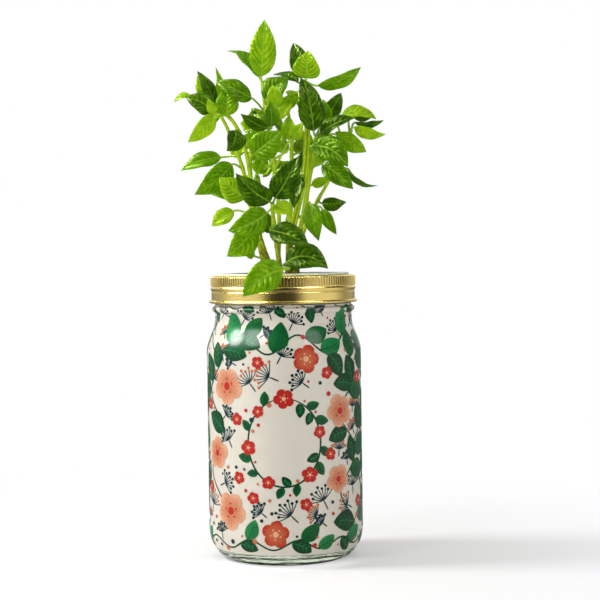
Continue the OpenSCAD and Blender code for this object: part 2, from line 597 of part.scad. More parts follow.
module stem_1() { stem(0); }
module stem_2() { stem(1); }
module stem_3() { stem(2); }
module stem_4() { stem(3); }
module stem_5() { stem(4); }
module stem_6() { stem(5); }
module stem_7() { stem(6); }
module stem_8() { stem(7); }
module stem_9() { stem(8); }
module leaves_1() { leaves(0); }
module leaves_2() { leaves(1); }
module leaves_3() { leaves(2); }
module leaves_4() { leaves(3); }
module leaves_5() { leaves(4); }
module leaves_6() { leaves(5); }
module leaves_7() { leaves(6); }
module leaves_8() { leaves(7); }
module leaves_9() { leaves(8); }

glass_jar();
printed_skin();
screw_band();
seal_ring();
net_cup();
growing_medium();
roots();
stem_1();
stem_2();
stem_3();
stem_4();
stem_5();
stem_6();
stem_7();
stem_8();
stem_9();
leaves_1();
leaves_2();
leaves_3();
leaves_4();
leaves_5();
leaves_6();
leaves_7();
leaves_8();
leaves_9();
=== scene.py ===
"""Herb garden jar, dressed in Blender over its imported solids.

A wide-mouth glass jar in a printed skin, with a gold screw band and a slotted cup that carries a
leafy herb. Lengths are in metres, in the frame of the solids: the origin is the centre of the base,
the front is -Y and up is +Z.
"""

import logging
import math
from dataclasses import dataclass
from enum import Enum
from typing import Any, Callable, ClassVar, Sequence

import bpy
import numpy as np
from mathutils import Matrix, Vector, noise


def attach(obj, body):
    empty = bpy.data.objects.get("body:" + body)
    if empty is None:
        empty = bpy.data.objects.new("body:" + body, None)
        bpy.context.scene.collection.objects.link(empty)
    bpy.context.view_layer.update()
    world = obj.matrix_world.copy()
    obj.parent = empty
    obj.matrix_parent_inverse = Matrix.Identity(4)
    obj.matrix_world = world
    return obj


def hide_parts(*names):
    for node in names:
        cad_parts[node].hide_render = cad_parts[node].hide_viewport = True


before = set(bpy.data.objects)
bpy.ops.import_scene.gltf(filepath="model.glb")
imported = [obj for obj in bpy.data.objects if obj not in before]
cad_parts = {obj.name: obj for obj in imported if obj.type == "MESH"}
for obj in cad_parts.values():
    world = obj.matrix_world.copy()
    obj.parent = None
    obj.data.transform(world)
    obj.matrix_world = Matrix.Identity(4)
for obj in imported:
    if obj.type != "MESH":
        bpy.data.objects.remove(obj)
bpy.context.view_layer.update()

MM = 0.001
LOG = logging.getLogger("herb_jar")

Array = np.ndarray
Colour = tuple[float, float, float]
Faces = list[tuple[int, ...]]
Place = tuple[float, float, float]
Spot = tuple[float, float]

WHITE: Colour = (1.0, 1.0, 1.0)
EYE = np.array((10.7, -1050, 195)) * MM
PRINT_GLOSS = {"Coat Weight": 0.25, "Coat Roughness": 0.07}


def linear(code: str) -> Colour:
    """A colour as light, from its screen code of two hexadecimal digits a channel."""
    parts = [int(code[k:k + 2], 16) / 255 for k in (0, 2, 4)]
    return tuple(p / 12.92 if p <= 0.04045 else ((p + 0.055) / 1.055) ** 2.4 for p in parts)


def by_node(operation: str, swapped: bool = False) -> Callable[..., "Value"]:
    """A method of Value that adds a Math node.

    Args:
        operation: The node's operation.
        swapped: Whether the other operand comes first.

    Returns:
        The method, which takes the other operand where the operation has two.
    """
    def method(self: "Value", other: "Number" = 0.0) -> "Value":
        """The node's output."""
        values = dict(enumerate((other, self) if swapped else (self, other)))
        return self.bench.node("ShaderNodeMath", {"operation": operation}, values)

    return method


class Value:
    """One output of a node tree that sums can be written with.

    least and most pick one of two values, wave is the sine, part drops the whole number, and angle
    is the angle whose tangent is self over other.
    """

    def __init__(self, bench: "Bench", socket: Any) -> None:
        """Keeps the output and the tree that it is in."""
        self.bench = bench
        self.socket = socket

    __add__ = __radd__ = by_node("ADD")
    __mul__ = __rmul__ = by_node("MULTIPLY")
    __sub__, __rsub__ = by_node("SUBTRACT"), by_node("SUBTRACT", swapped=True)
    __truediv__, __rtruediv__ = by_node("DIVIDE"), by_node("DIVIDE", swapped=True)
    __pow__, __rpow__ = by_node("POWER"), by_node("POWER", swapped=True)
    __abs__, wave, part = by_node("ABSOLUTE"), by_node("SINE"), by_node("FRACT")
    least, most, angle = by_node("MINIMUM"), by_node("MAXIMUM"), by_node("ARCTAN2")

    def step(self, low: float, high: float, start: float = 0.0, end: float = 1.0) -> "Value":
        """A smooth step from start, up to where self is low, to end, from where self is high on."""
        return self.bench.node("ShaderNodeMapRange", {"interpolation_type": "SMOOTHSTEP"},
                               {0: self, 1: low, 2: high, 3: start, 4: end})


Number = Value | float


class Bench:
    """A node tree under construction."""

    def __init__(self, tree: Any) -> None:
        """Takes a tree and empties it."""
        self.tree = tree
        tree.nodes.clear()

    def node(self, kind: str, settings: dict[str, Any] | None = None,
             inputs: dict[int | str, Any] | None = None, out: int | str = 0) -> Value:
        """Adds one node.

        Args:
            kind: The node's type.
            settings: The node's properties.
            inputs: Numbers, colours or links, by socket name or place.
            out: Which output is wanted.

        Returns:
            That output.
        """
        node = self.tree.nodes.new(kind)
        for key, value in (settings or {}).items():
            setattr(node, key, value)
        for key, value in (inputs or {}).items():
            socket = node.inputs[key]
            if isinstance(value, Value):
                self.tree.links.new(value.socket, socket)
            elif socket.type == "RGBA":
                socket.default_value = (*value, 1)
            else:
                socket.default_value = value
        return Value(self, node.outputs[out])

    def close(self, surface: Value, target: str = "Material") -> None:
        """Ends the tree in a material's output, or in a world's."""
        out = self.tree.nodes.new(f"ShaderNodeOutput{target}")
        self.tree.links.new(surface.socket, out.inputs["Surface"])

    def principled(self, inputs: dict[str, Any]) -> Value:
        """A Principled shader with these values or links in its sockets."""
        return self.node("ShaderNodeBsdfPrincipled", None, inputs)

    def emission(self, strength: Number) -> Value:
        """A shader that glows white."""
        return self.node("ShaderNodeEmission", None, {"Color": WHITE, "Strength": strength})

    def blend(self, factor: Number, first: Value | Colour, second: Value | Colour) -> Value:
        """Mixes two colours by the share of the second."""
        return self.node("ShaderNodeMix", {"data_type": "RGBA"}, {0: factor, 6: first, 7: second},
                         out=2)

    def place(self) -> Value:
        """The point in the object's own frame, which is the frame of the solids."""
        return self.node("ShaderNodeTexCoord", out="Object")

    def parts(self, vector: Value) -> tuple[Value, ...]:
        """The three parts of a vector."""
        first = self.node("ShaderNodeSeparateXYZ", None, {0: vector})
        return tuple(Value(self, out) for out in first.socket.node.outputs)

    def rays(self) -> tuple[Value, ...]:
        """For the camera, a mirror and clear stuff in turn: 1 where that is what looks, else 0."""
        paths = self.node("ShaderNodeLightPath").socket.node.outputs
        return tuple(Value(self, paths[f"Is {kind} Ray"])
                     for kind in ("Camera", "Glossy", "Transmission"))

    def grain(self, size: float, detail: float = 2.0, rough: float = 0.5) -> Value:
        """Noise about one half, in lumps of a size in metres and finer layers over them."""
        return self.node("ShaderNodeTexNoise", None, {"Vector": self.place(), "Scale": 1 / size,
                                                      "Detail": detail, "Roughness": rough})

    def bump(self, height: Value, depth: float) -> Value:
        """A normal that is bent by a height from 0 to 1, where 1 is the depth in metres."""
        return self.node("ShaderNodeBump", None, {"Height": height, "Distance": depth})

    def attribute(self, name: str, out: str = "Fac") -> Value:
        """A value that the mesh holds under a name."""
        return self.node("ShaderNodeAttribute", {"attribute_name": name}, out=out)


class Finish:
    """What a piece is made of: a material whose shader each finish gives."""

    name: ClassVar[str]

    def surface(self, bench: Bench) -> Value:
        """Builds the shader.

        Args:
            bench: The material's bench.

        Returns:
            The shader.
        """
        raise NotImplementedError

    def material(self) -> Any:
        """Makes the material.

        Returns:
            The material.
        """
        material = bpy.data.materials.new(self.name)
        material.use_nodes = True
        bench = Bench(material.node_tree)
        bench.close(self.surface(bench))
        return material


@dataclass(frozen=True)
class GreenGlass(Finish):
    """Clear pressed glass with a faint green cast and a slight ripple."""

    name: ClassVar[str] = "pressed_glass"
    tint: Colour = (0.77, 0.87, 0.66)
    roughness: float = 0.03
    ior: float = 1.5

    def surface(self, bench: Bench) -> Value:
        """Builds the shader.

        Args:
            bench: The material's bench.

        Returns:
            The shader.
        """
        ripple = bench.grain(9 * MM, detail=1.0)
        return bench.principled({
            "Base Color": self.tint, "Roughness": self.roughness, "IOR": self.ior,
            "Transmission Weight": 1.0, "Normal": bench.bump(ripple, 0.25 * MM)})


@dataclass(frozen=True)
class CreamGround(Finish):
    """The cream ground of the printed skin, with the fine speckle of its ink."""

    name: ClassVar[str] = "cream_ground"
    cream: Colour = linear("e6dfd0")
    shade: Colour = linear("d0c8b6")
    roughness: float = 0.42

    def surface(self, bench: Bench) -> Value:
        """Builds the shader.

        Args:
            bench: The material's bench.

        Returns:
            The shader.
        """
        cloud = bench.grain(14 * MM, detail=3.0)
        speck = bench.grain(0.35 * MM).step(0.56, 0.72)
        mix = cloud.step(0.35, 0.75) * 0.22 + speck * 0.35
        return bench.principled({
            "Base Color": bench.blend(mix, self.cream, self.shade),
            "Roughness": cloud * 0.12 + (self.roughness - 0.06),
            "Normal": bench.bump(cloud, 0.12 * MM), **PRINT_GLOSS})


@dataclass(frozen=True)
class PrintInk(Finish):
    """Flat screen-print ink whose colour each motif carries in its mesh."""

    name: ClassVar[str] = "print_ink"
    worn: Colour = linear("dad2c1")
    wear: float = 0.01
    roughness: float = 0.42

    def surface(self, bench: Bench) -> Value:
        """Builds the shader.

        Args:
            bench: The material's bench.

        Returns:
            The shader.
        """
        cloud = bench.grain(2.2 * MM, detail=3.0)
        return bench.principled({
            "Base Color": bench.blend(cloud.step(0.5, 0.85) * self.wear,
                                      bench.attribute("ink", "Color"), self.worn),
            "Roughness": cloud * 0.1 + (self.roughness - 0.05), "Specular IOR Level": 0.12,
            **PRINT_GLOSS})


@dataclass(frozen=True)
class GoldLacquer(Finish):
    """Gold-lacquered tinplate, glossy; its grip has rounded ribs with painted shade between them.
    """

    name: ClassVar[str] = "gold_lacquer"
    gold: Colour = (0.89, 0.69, 0.24)
    deep: Colour = (0.82, 0.62, 0.18)
    painted_valley_shade: Colour = (0.68, 0.52, 0.19)
    roughness: float = 0.25
    ribs: int = 150
    rib_start: float = 0.628
    rib_depth: float = 0.11 * MM
    grip_low: float = 173.0 * MM
    grip_high: float = 178.35 * MM
    grip_edge: float = 0.05 * MM

    def surface(self, bench: Bench) -> Value:
        """Builds the shader.

        Args:
            bench: The material's bench.

        Returns:
            The shader.
        """
        cloud, fine = bench.grain(14 * MM), bench.grain(0.6 * MM)
        side, depth, high = bench.parts(bench.place())
        rib = (depth.angle(side) * self.ribs + self.rib_start).wave()
        grip = (high.step(self.grip_low - self.grip_edge, self.grip_low + self.grip_edge)
                * high.step(self.grip_high - self.grip_edge, self.grip_high + self.grip_edge, 1, 0))
        gold = bench.blend(cloud * 0.6 + fine * 0.2, self.gold, self.deep)
        return bench.principled({
            # Painted shade: the valleys between the grip's ribs take a darker gold.
            "Base Color": bench.blend(rib.step(-0.3, 0.3, 1, 0) * grip, gold, self.painted_valley_shade),
            "Metallic": 1.0,
            "Roughness": cloud * 0.05 + fine * 0.03 + (self.roughness - 0.04),
            "Normal": bench.bump(rib.most(0.3) * grip, self.rib_depth)})


@dataclass(frozen=True)
class CupPlastic(Finish):
    """Pale grey-green moulded plastic, satin, with fine darker ticks round the flange."""

    name: ClassVar[str] = "cup_plastic"
    pale: Colour = linear("e6f0e8")
    shade: Colour = linear("b6c6b8")
    roughness: float = 0.36
    ticks: int = 150

    def surface(self, bench: Bench) -> Value:
        """Builds the shader.

        Args:
            bench: The material's bench.

        Returns:
            The shader.
        """
        side, depth, _ = bench.parts(bench.place())
        tick = (depth.angle(side) * self.ticks).wave().step(-0.4, 0.9)
        cloud = bench.grain(3 * MM, detail=3.0)
        mix = cloud.step(0.3, 0.8) * 0.4 + tick * 0.25
        return bench.principled({"Base Color": bench.blend(mix, self.pale, self.shade),
                                 "Roughness": cloud * 0.15 + (self.roughness - 0.07)})


@dataclass(frozen=True)
class SoftSeal(Finish):
    """Matt silicone of the seal ring, with a little dust."""

    name: ClassVar[str] = "soft_seal"
    pale: Colour = (0.76, 0.76, 0.70)
    dusty: Colour = (0.5, 0.49, 0.44)
    roughness: float = 0.62

    def surface(self, bench: Bench) -> Value:
        """Builds the shader.

        Args:
            bench: The material's bench.

        Returns:
            The shader.
        """
        dust = bench.grain(1.2 * MM, detail=4.0).step(0.4, 0.75)
        return bench.principled({"Base Color": bench.blend(dust * 0.3, self.pale, self.dusty),
                                 "Roughness": dust * 0.2 + (self.roughness - 0.1)})


@dataclass(frozen=True)
class DampPeat(Finish):
    """Damp coir and peat in dark crumbs."""

    name: ClassVar[str] = "damp_peat"
    dark: Colour = (0.022, 0.012, 0.007)
    warm: Colour = (0.12, 0.062, 0.03)

    def surface(self, bench: Bench) -> Value:
        """Builds the shader.

        Args:
            bench: The material's bench.

        Returns:
            The shader.
        """
        crumb = bench.grain(1.4 * MM, detail=5.0, rough=0.65)
        fibre = bench.grain(4 * MM).step(0.45, 0.7)
        mix = crumb.step(0.35, 0.7) * (fibre * 0.6 + 0.4)
        return bench.principled({
            "Base Color": bench.blend(mix, self.dark, self.warm), "Roughness": crumb * 0.4 + 0.5,
            "Normal": bench.bump(crumb, 0.8 * MM)})


@dataclass(frozen=True)
class WetRoot(Finish):
    """Pale wet root, browner where it is old."""

    name: ClassVar[str] = "wet_root"
    pale: Colour = (0.72, 0.66, 0.50)
    old: Colour = (0.42, 0.30, 0.16)

    def surface(self, bench: Bench) -> Value:
        """Builds the shader.

        Args:
            bench: The material's bench.

        Returns:
            The shader.
        """
        age = bench.grain(7 * MM, detail=4.0).step(0.42, 0.75)
        return bench.principled({"Base Color": bench.blend(age * 0.8, self.pale, self.old),
                                 "Roughness": age * 0.2 + 0.3})


@dataclass(frozen=True)
class FleshyStem(Finish):
    """Ribbed stem, brown at its foot; its yellower ridges are part colour, part painted highlight.
    """

    name: ClassVar[str] = "fleshy_stem"
    green: Colour = (0.30, 0.50, 0.0)
    ridge_and_highlight: Colour = (0.74, 0.90, 0.05)
    foot: Colour = (0.19, 0.075, 0.018)
    sheen: Colour = (0.8, 1.0, 0.1)

    def surface(self, bench: Bench) -> Value:
        """Builds the shader.

        Args:
            bench: The material's bench.

        Returns:
            The shader.
        """
        cloud = bench.grain(2.5 * MM, detail=4.0)
        # The ridges' yellow is partly the stem's own colour and partly a painted highlight.
        ridge_and_highlight_share = bench.attribute("rib") * 0.75 + cloud.step(0.4, 0.75) * 0.3
        brown = (bench.attribute("along") + cloud * 0.4).step(0.16, 0.42, 0.95, 0.0)
        green = bench.blend(ridge_and_highlight_share, self.green, self.ridge_and_highlight)
        return bench.principled({
            "Base Color": bench.blend(brown, green, self.foot), "Roughness": cloud * 0.2 + 0.3,
            "Specular IOR Level": 0.4, "Specular Tint": self.sheen,
            "Normal": bench.bump(cloud, 0.15 * MM)})


@dataclass(frozen=True)
class WaxyLeaf(Finish):
    """Waxy leaf, quilted between pale veins; its tone runs from dark to pale, leaf by leaf.

    The side veins cross the blade at veins a length, leave the midrib at a slant, and bend on.
    """

    name: ClassVar[str] = "waxy_leaf"
    dark: Colour = (0.008, 0.056, 0.0)
    bright: Colour = (0.20, 0.46, 0.001)
    pale: Colour = (0.68, 0.88, 0.02)
    vein: Colour = (0.58, 0.80, 0.09)
    through: Colour = (0.46, 0.84, 0.0)
    sheen: Colour = (0.88, 1.0, 0.24)
    roughness: float = 0.27
    veins: float = 7.5
    slant: float = 0.36
    bend: float = 1.5

    def surface(self, bench: Bench) -> Value:
        """The shader, built on the material's bench.

        Args:
            bench: The material's bench.

        Returns:
            Wax over a leaf that lets some light through.
        """
        ladder, lane, _ = bench.parts(bench.attribute("blade", "Vector"))
        tone, under = bench.attribute("tone"), bench.attribute("under")
        aside = abs(lane)
        near = abs(ladder.part() - 0.5) * 2.0
        side = near.step(0.80, 0.99) * aside.step(0.75, 1.0, 1.0, 0.2)
        rib = aside.step(0.02, 0.10, 1.0, 0.0)
        blush = bench.grain(5 * MM, detail=3.0).step(0.3, 0.75)
        patch = bench.grain(0.9 * MM, detail=3.0)
        cloud = bench.grain(4 * MM, detail=1.0).step(0.42, 0.66)
        # Painted shade: near ** 4 darkens the colour along the sunken vein grooves.
        level = tone * 1.15 + blush * 0.26 - near ** 4.0 * 0.22 + rib * 0.2 - 0.1
        # Painted highlight: patches of the ridges between the veins turn paler where cloud is high.
        level = level + near.step(0.1, 0.75, 1.0, 0.0) * cloud * 0.12
        colour = bench.blend(level.step(0.05, 0.75), self.dark, self.bright)
        colour = bench.blend(level.step(0.6, 1.15) * 0.9, colour, self.pale)
        colour = bench.blend(under * 0.5, colour, self.pale)
        drawn = (side * (under * 0.4 + 0.1)).most(rib * 0.8) * (tone * 0.8 + 0.2)
        wax = bench.principled({
            "Base Color": bench.blend(drawn, colour, self.vein),
            "Roughness": patch * 0.1 + under * 0.15 + (self.roughness - 0.05),
            "Specular IOR Level": 0.44, "Specular Tint": self.sheen,
            "Normal": bench.bump(patch, 0.04 * MM)})
        glow = bench.node("ShaderNodeBsdfTranslucent", None, {"Color": self.through})
        return bench.node("ShaderNodeMixShader", None, {0: tone * 0.26 + 0.12, 1: wax, 2: glow})


@dataclass(frozen=True)
class WhiteGround(Finish):
    """White paper that keeps the object's shadow and turns plain white away from it.

    Mirrors see it dark in front and bright at the sides; glass sees it bright, as painted light.
    """

    name: ClassVar[str] = "white_ground"
    grey: Colour = (0.93, 0.93, 0.93)
    white: Colour = (0.95, 0.95, 0.95)
    even: float = 0.18
    # Painted light: the level of the extra glow round the jar's foot
    foot: float = 0.42
    bounce: float = 0.9
    front_gloss: float = 0.015
    # Painted light: the share of plain glow that clear glass sees in place of the lit paper
    clear: float = 0.62

    def surface(self, bench: Bench) -> Value:
        """The shader, built on the material's bench.

        Args:
            bench: The material's bench.

        Returns:
            Lit paper near the object and an even glow far from it.
        """
        camera, mirror, glass = bench.rays()
        where = bench.place()
        side, depth, _ = bench.parts(where)
        away = bench.node("ShaderNodeVectorMath", {"operation": "LENGTH"}, {0: where}, out="Value")
        back = depth / away
        tone = (abs(side) / away).step(0.34, 0.64, 0.0, 0.92) * back.step(-0.15, 0.55, 1.0, 0.3)
        tone = tone.most(depth.step(-0.5, -0.05, self.front_gloss, 0.2))
        paper = bench.node("ShaderNodeBsdfDiffuse", None, {
            "Color": bench.blend(bench.grain(0.4, detail=1.0), self.grey, self.white)})
        # Painted light: a ring of glow round the jar's foot, weaker behind it, for light through
        # the glass
        foot = away.step(0.040, 0.060, self.foot, 0.0) * back.step(-0.95, -0.05, 1.0, 0.15)
        near = bench.node("ShaderNodeAddShader", None,
                          {0: paper, 1: bench.emission(camera * (foot + self.even))})
        far = bench.emission(camera.most(mirror * (tone - self.bounce) + self.bounce))
        share = away.step(0.08, 0.39).most(mirror * depth.step(-0.12, -0.04, 1.0, 0.0))
        # Painted light: through clear glass the floor is seen mostly as plain glow
        return bench.node("ShaderNodeMixShader", None,
                          {0: share.most(glass * self.clear), 1: near, 2: far})


class Stock:
    """Points and faces of a mesh under construction, with the values that its points carry."""

    def __init__(self) -> None:
        """Starts empty."""
        self.points: list[Array] = []
        self.faces: Faces = []
        self.carried: dict[str, list[Array]] = {}
        self.count = 0

    def add(self, points: Array, faces: Sequence[Sequence[int]], **carried: Array) -> None:
        """Adds one body.

        Args:
            points: Its points, one in each row.
            faces: Its faces, as places in those points.
            carried: Values for each point, by attribute name.
        """
        base = self.count
        self.points.append(points)
        self.faces.extend(tuple(base + k for k in face) for face in faces)
        for name, values in carried.items():
            self.carried.setdefault(name, []).append(np.asarray(values, float))
        self.count += len(points)

    @staticmethod
    def carry(mesh: Any, name: str, data: Array) -> None:
        """Writes values into a mesh.

        Args:
            mesh: The mesh.
            name: The attribute's name.
            data: A number, a colour or a vector for each point; four numbers are a colour.
        """
        kind, key = {1: ("FLOAT", "value"), 3: ("FLOAT_VECTOR", "vector"),
                     4: ("FLOAT_COLOR", "color")}[data.shape[1] if data.ndim > 1 else 1]
        mesh.attributes.new(name, kind, "POINT").data.foreach_set(key, data.ravel())

    def piece(self, name: str, material: Any, smooth: bool = True,
              flat_map: Array | None = None) -> Any:
        """Makes the Blender object.

        Args:
            name: The piece's name.
            material: Its material.
            smooth: Whether its shading is smooth.
            flat_map: The place of each point on the piece's own flat map.

        Returns:
            The object, linked to the scene.
        """
        mesh = bpy.data.meshes.new(name)
        mesh.from_pydata(np.concatenate(self.points).tolist(), [], self.faces)
        for key, values in self.carried.items():
            self.carry(mesh, key, np.concatenate(values))
        if flat_map is not None:
            layer = mesh.uv_layers.new(name="OFBake")
            corners = np.empty(len(mesh.loops), int)
            mesh.loops.foreach_get("vertex_index", corners)
            layer.data.foreach_set("uv", flat_map[corners].ravel())
        mesh.polygons.foreach_set("use_smooth", [smooth] * len(mesh.polygons))
        mesh.materials.append(material)
        mesh.validate()
        mesh.update()
        made = bpy.data.objects.new(name, mesh)
        bpy.context.scene.collection.objects.link(made)
        return made


def dress(node: str, finish: Finish) -> None:
    """Gives a solid of the frame its finish.

    Args:
        node: The solid's name.
        finish: The finish.
    """
    solid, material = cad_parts[node], finish.material()
    solid.data.materials.clear()
    solid.data.materials.append(material)
    LOG.info("dressed %s in %s", node, material.name)


def settle(piece: Any, body: str, slot: str, *stands_for: str) -> None:
    """Ties a piece to its body.

    Args:
        piece: The Blender object.
        body: The body that it rides on.
        slot: Not used.
        stands_for: Solids that it takes the place of.
    """
    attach(piece, body)
    if stands_for:
        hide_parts(*stands_for)
    LOG.info("made %s with %d points on %s", piece.name, len(piece.data.vertices), body)


def unit(vectors: Array) -> Array:
    """The direction of each vector."""
    return vectors / np.linalg.norm(vectors, axis=-1, keepdims=True)


def dot(first: Array, second: Array) -> Array:
    """The product of vectors row by row, as a column."""
    return np.sum(first * second, axis=-1, keepdims=True)


def heading(turn: float) -> Array:
    """The flat direction at an angle from straight up towards the right."""
    return np.array([math.sin(turn), math.cos(turn)])


def swing(vector: Array, start: Array, end: Array) -> Array:
    """A vector that belongs to one direction, carried along as that swings to others."""
    both = start + end
    return vector - both * dot(vector, both) / (1 + dot(start, end)) + 2 * end * dot(vector, start)


def curve_point(route: Array, u: float) -> Array:
    """Point u of the smooth curve through the points of a route.

    Args:
        route: The points, one in each row.
        u: The place along it; a whole number is a point of the route.

    Returns:
        The point.
    """
    last = len(route) - 1
    k = min(int(math.floor(u)), last - 1)
    t = u - k
    a, b, c, d = (route[q] for q in (max(k - 1, 0), k, k + 1, min(k + 2, last)))
    return (b + (c - a) * t / 2 + (a - 2.5 * b + 2 * c - d / 2) * t ** 2
            + (1.5 * b - a / 2 - 1.5 * c + d / 2) * t ** 3)


def ring_faces(rings: int, sides: int, way: int = 1) -> Faces:
    """The faces of a closed body whose points stand in rings.

    Args:
        rings: The number of rings.
        sides: Points in a ring.
        way: 1, or -1 to turn all faces over.

    Returns:
        The faces between the rings, and the two ends.
    """
    faces = [(k * sides + s, (k + 1) * sides + s, (k + 1) * sides + (s + 1) % sides,
              k * sides + (s + 1) % sides) for k in range(rings - 1) for s in range(sides)]
    faces += [tuple(range(sides)), tuple(range((rings - 1) * sides, rings * sides))[::-1]]
    return [face[::way] for face in faces]


def tube(line: Array, radii: Array, sides: int, ridges: int = 0, ridge_depth: float = 0.0,
         ) -> tuple[Array, Faces, Array]:
    """A closed tube along a line.

    Args:
        line: The line's points.
        radii: The radius at each.
        sides: Points in a ring.
        ridges: Number of ribs round it.
        ridge_depth: Height of the ribs, as a share of the radius.

    Returns:
        Its points, its faces, and how far each point is up its rib.
    """
    along = unit(np.gradient(line, axis=0))
    reference = np.array([0.0, 1.0, 0.0]) if abs(along[0][1]) < 0.9 else np.array([1.0, 0.0, 0.0])
    across = np.empty_like(line)
    side = unit(np.cross(reference, along[0]))
    for k, direction in enumerate(along):
        side = unit(side - direction * np.dot(side, direction))
        across[k] = side
    up = np.cross(along, across)
    angles = np.arange(sides) * 2 * math.pi / sides
    crest = 0.5 + 0.5 * np.cos(angles * ridges) if ridges else np.zeros(sides)
    swell = 1 + ridge_depth * (crest - 0.5)
    rings = (line[:, None] + radii[:, None, None] * swell[None, :, None]
             * (across[:, None] * np.cos(angles)[None, :, None]
                + up[:, None] * np.sin(angles)[None, :, None]))
    return rings.reshape(-1, 3), ring_faces(len(line), sides, -1), np.tile(crest, len(line))


class Layer(Enum):
    """The inks of the print, by how far each lies over the skin."""

    VINE = 0.10 * MM
    FOLIAGE = 0.16 * MM
    BLOSSOM = 0.22 * MM
    HEART = 0.28 * MM


class Ink(Enum):
    """The colours of the print."""

    FOREST = linear("024422")
    GRASS = linear("056029")
    SAGE = linear("1c8244")
    TEAL = linear("0c3038")
    PEACH = linear("eab08c")
    RUST = linear("cc7048")
    RED = linear("c0281e")


# The print's motifs, in mm round from the middle of the front and up from the lower edge
WREATH_BLOSSOMS = ((0.0, 6.6), (1.35, 4.2), (2.4, 5.4), (3.6, 4.4), (4.6, 5.2), (5.5, 4))
LARGE_BLOSSOMS = ((-39, 104, 12.5), (-50, 62, 11), (-37, 27, 12.5), (38, 88, 11), (36, 46, 9.5),
                  (14, 121, 9), (-6, 14, 9))
SMALL_BLOSSOMS = ((-16, 119), (-20, 36), (28, 112), (58, 108), (-60, 92), (-30, 48), (30, 62),
                  (58, 30), (-60, 40), (-31, 84), (13, 32))
# The climbing vines; from the seventh on they stand at the back, with scattered blossoms
COLUMNS = (-50, 46, -69, 57, 69, 80, -94, 102, -124, 126, 150)
BACK_COLUMNS = COLUMNS[6:]
# Garlands all round: height, bow, number of waves, length of a leaf
GARLANDS = ((130, 6, 8, 18), (7, 3, 10, 14), (156, 2.5, 11, 10.5))
# Sprays: way round, way up, turn, height
SPRAYS = ((-24, 10, -0.3, 20), (-12, 24, 0.4, 15), (-38, 44, 0.5, 15), (14, 10, 0.2, 19),
          (27, 38, -0.5, 14), (-22, 100, -0.9, 15), (26, 96, 0.7, 15), (-52, 12, 0.2, 16),
          (50, 66, 0.3, 15), (-56, 78, 0.2, 15))


def petal(u: Array) -> Array:
    """Half width along a round petal, as a share of the full one."""
    return np.sqrt(np.clip(1 - (1.42 * u - 0.42) ** 2, 0, 1)) * u ** 0.35


def pointed(u: Array) -> Array:
    """Half width along a pointed leaf, as a share of the full one."""
    return np.sin(math.pi * u ** 0.85) ** 0.75


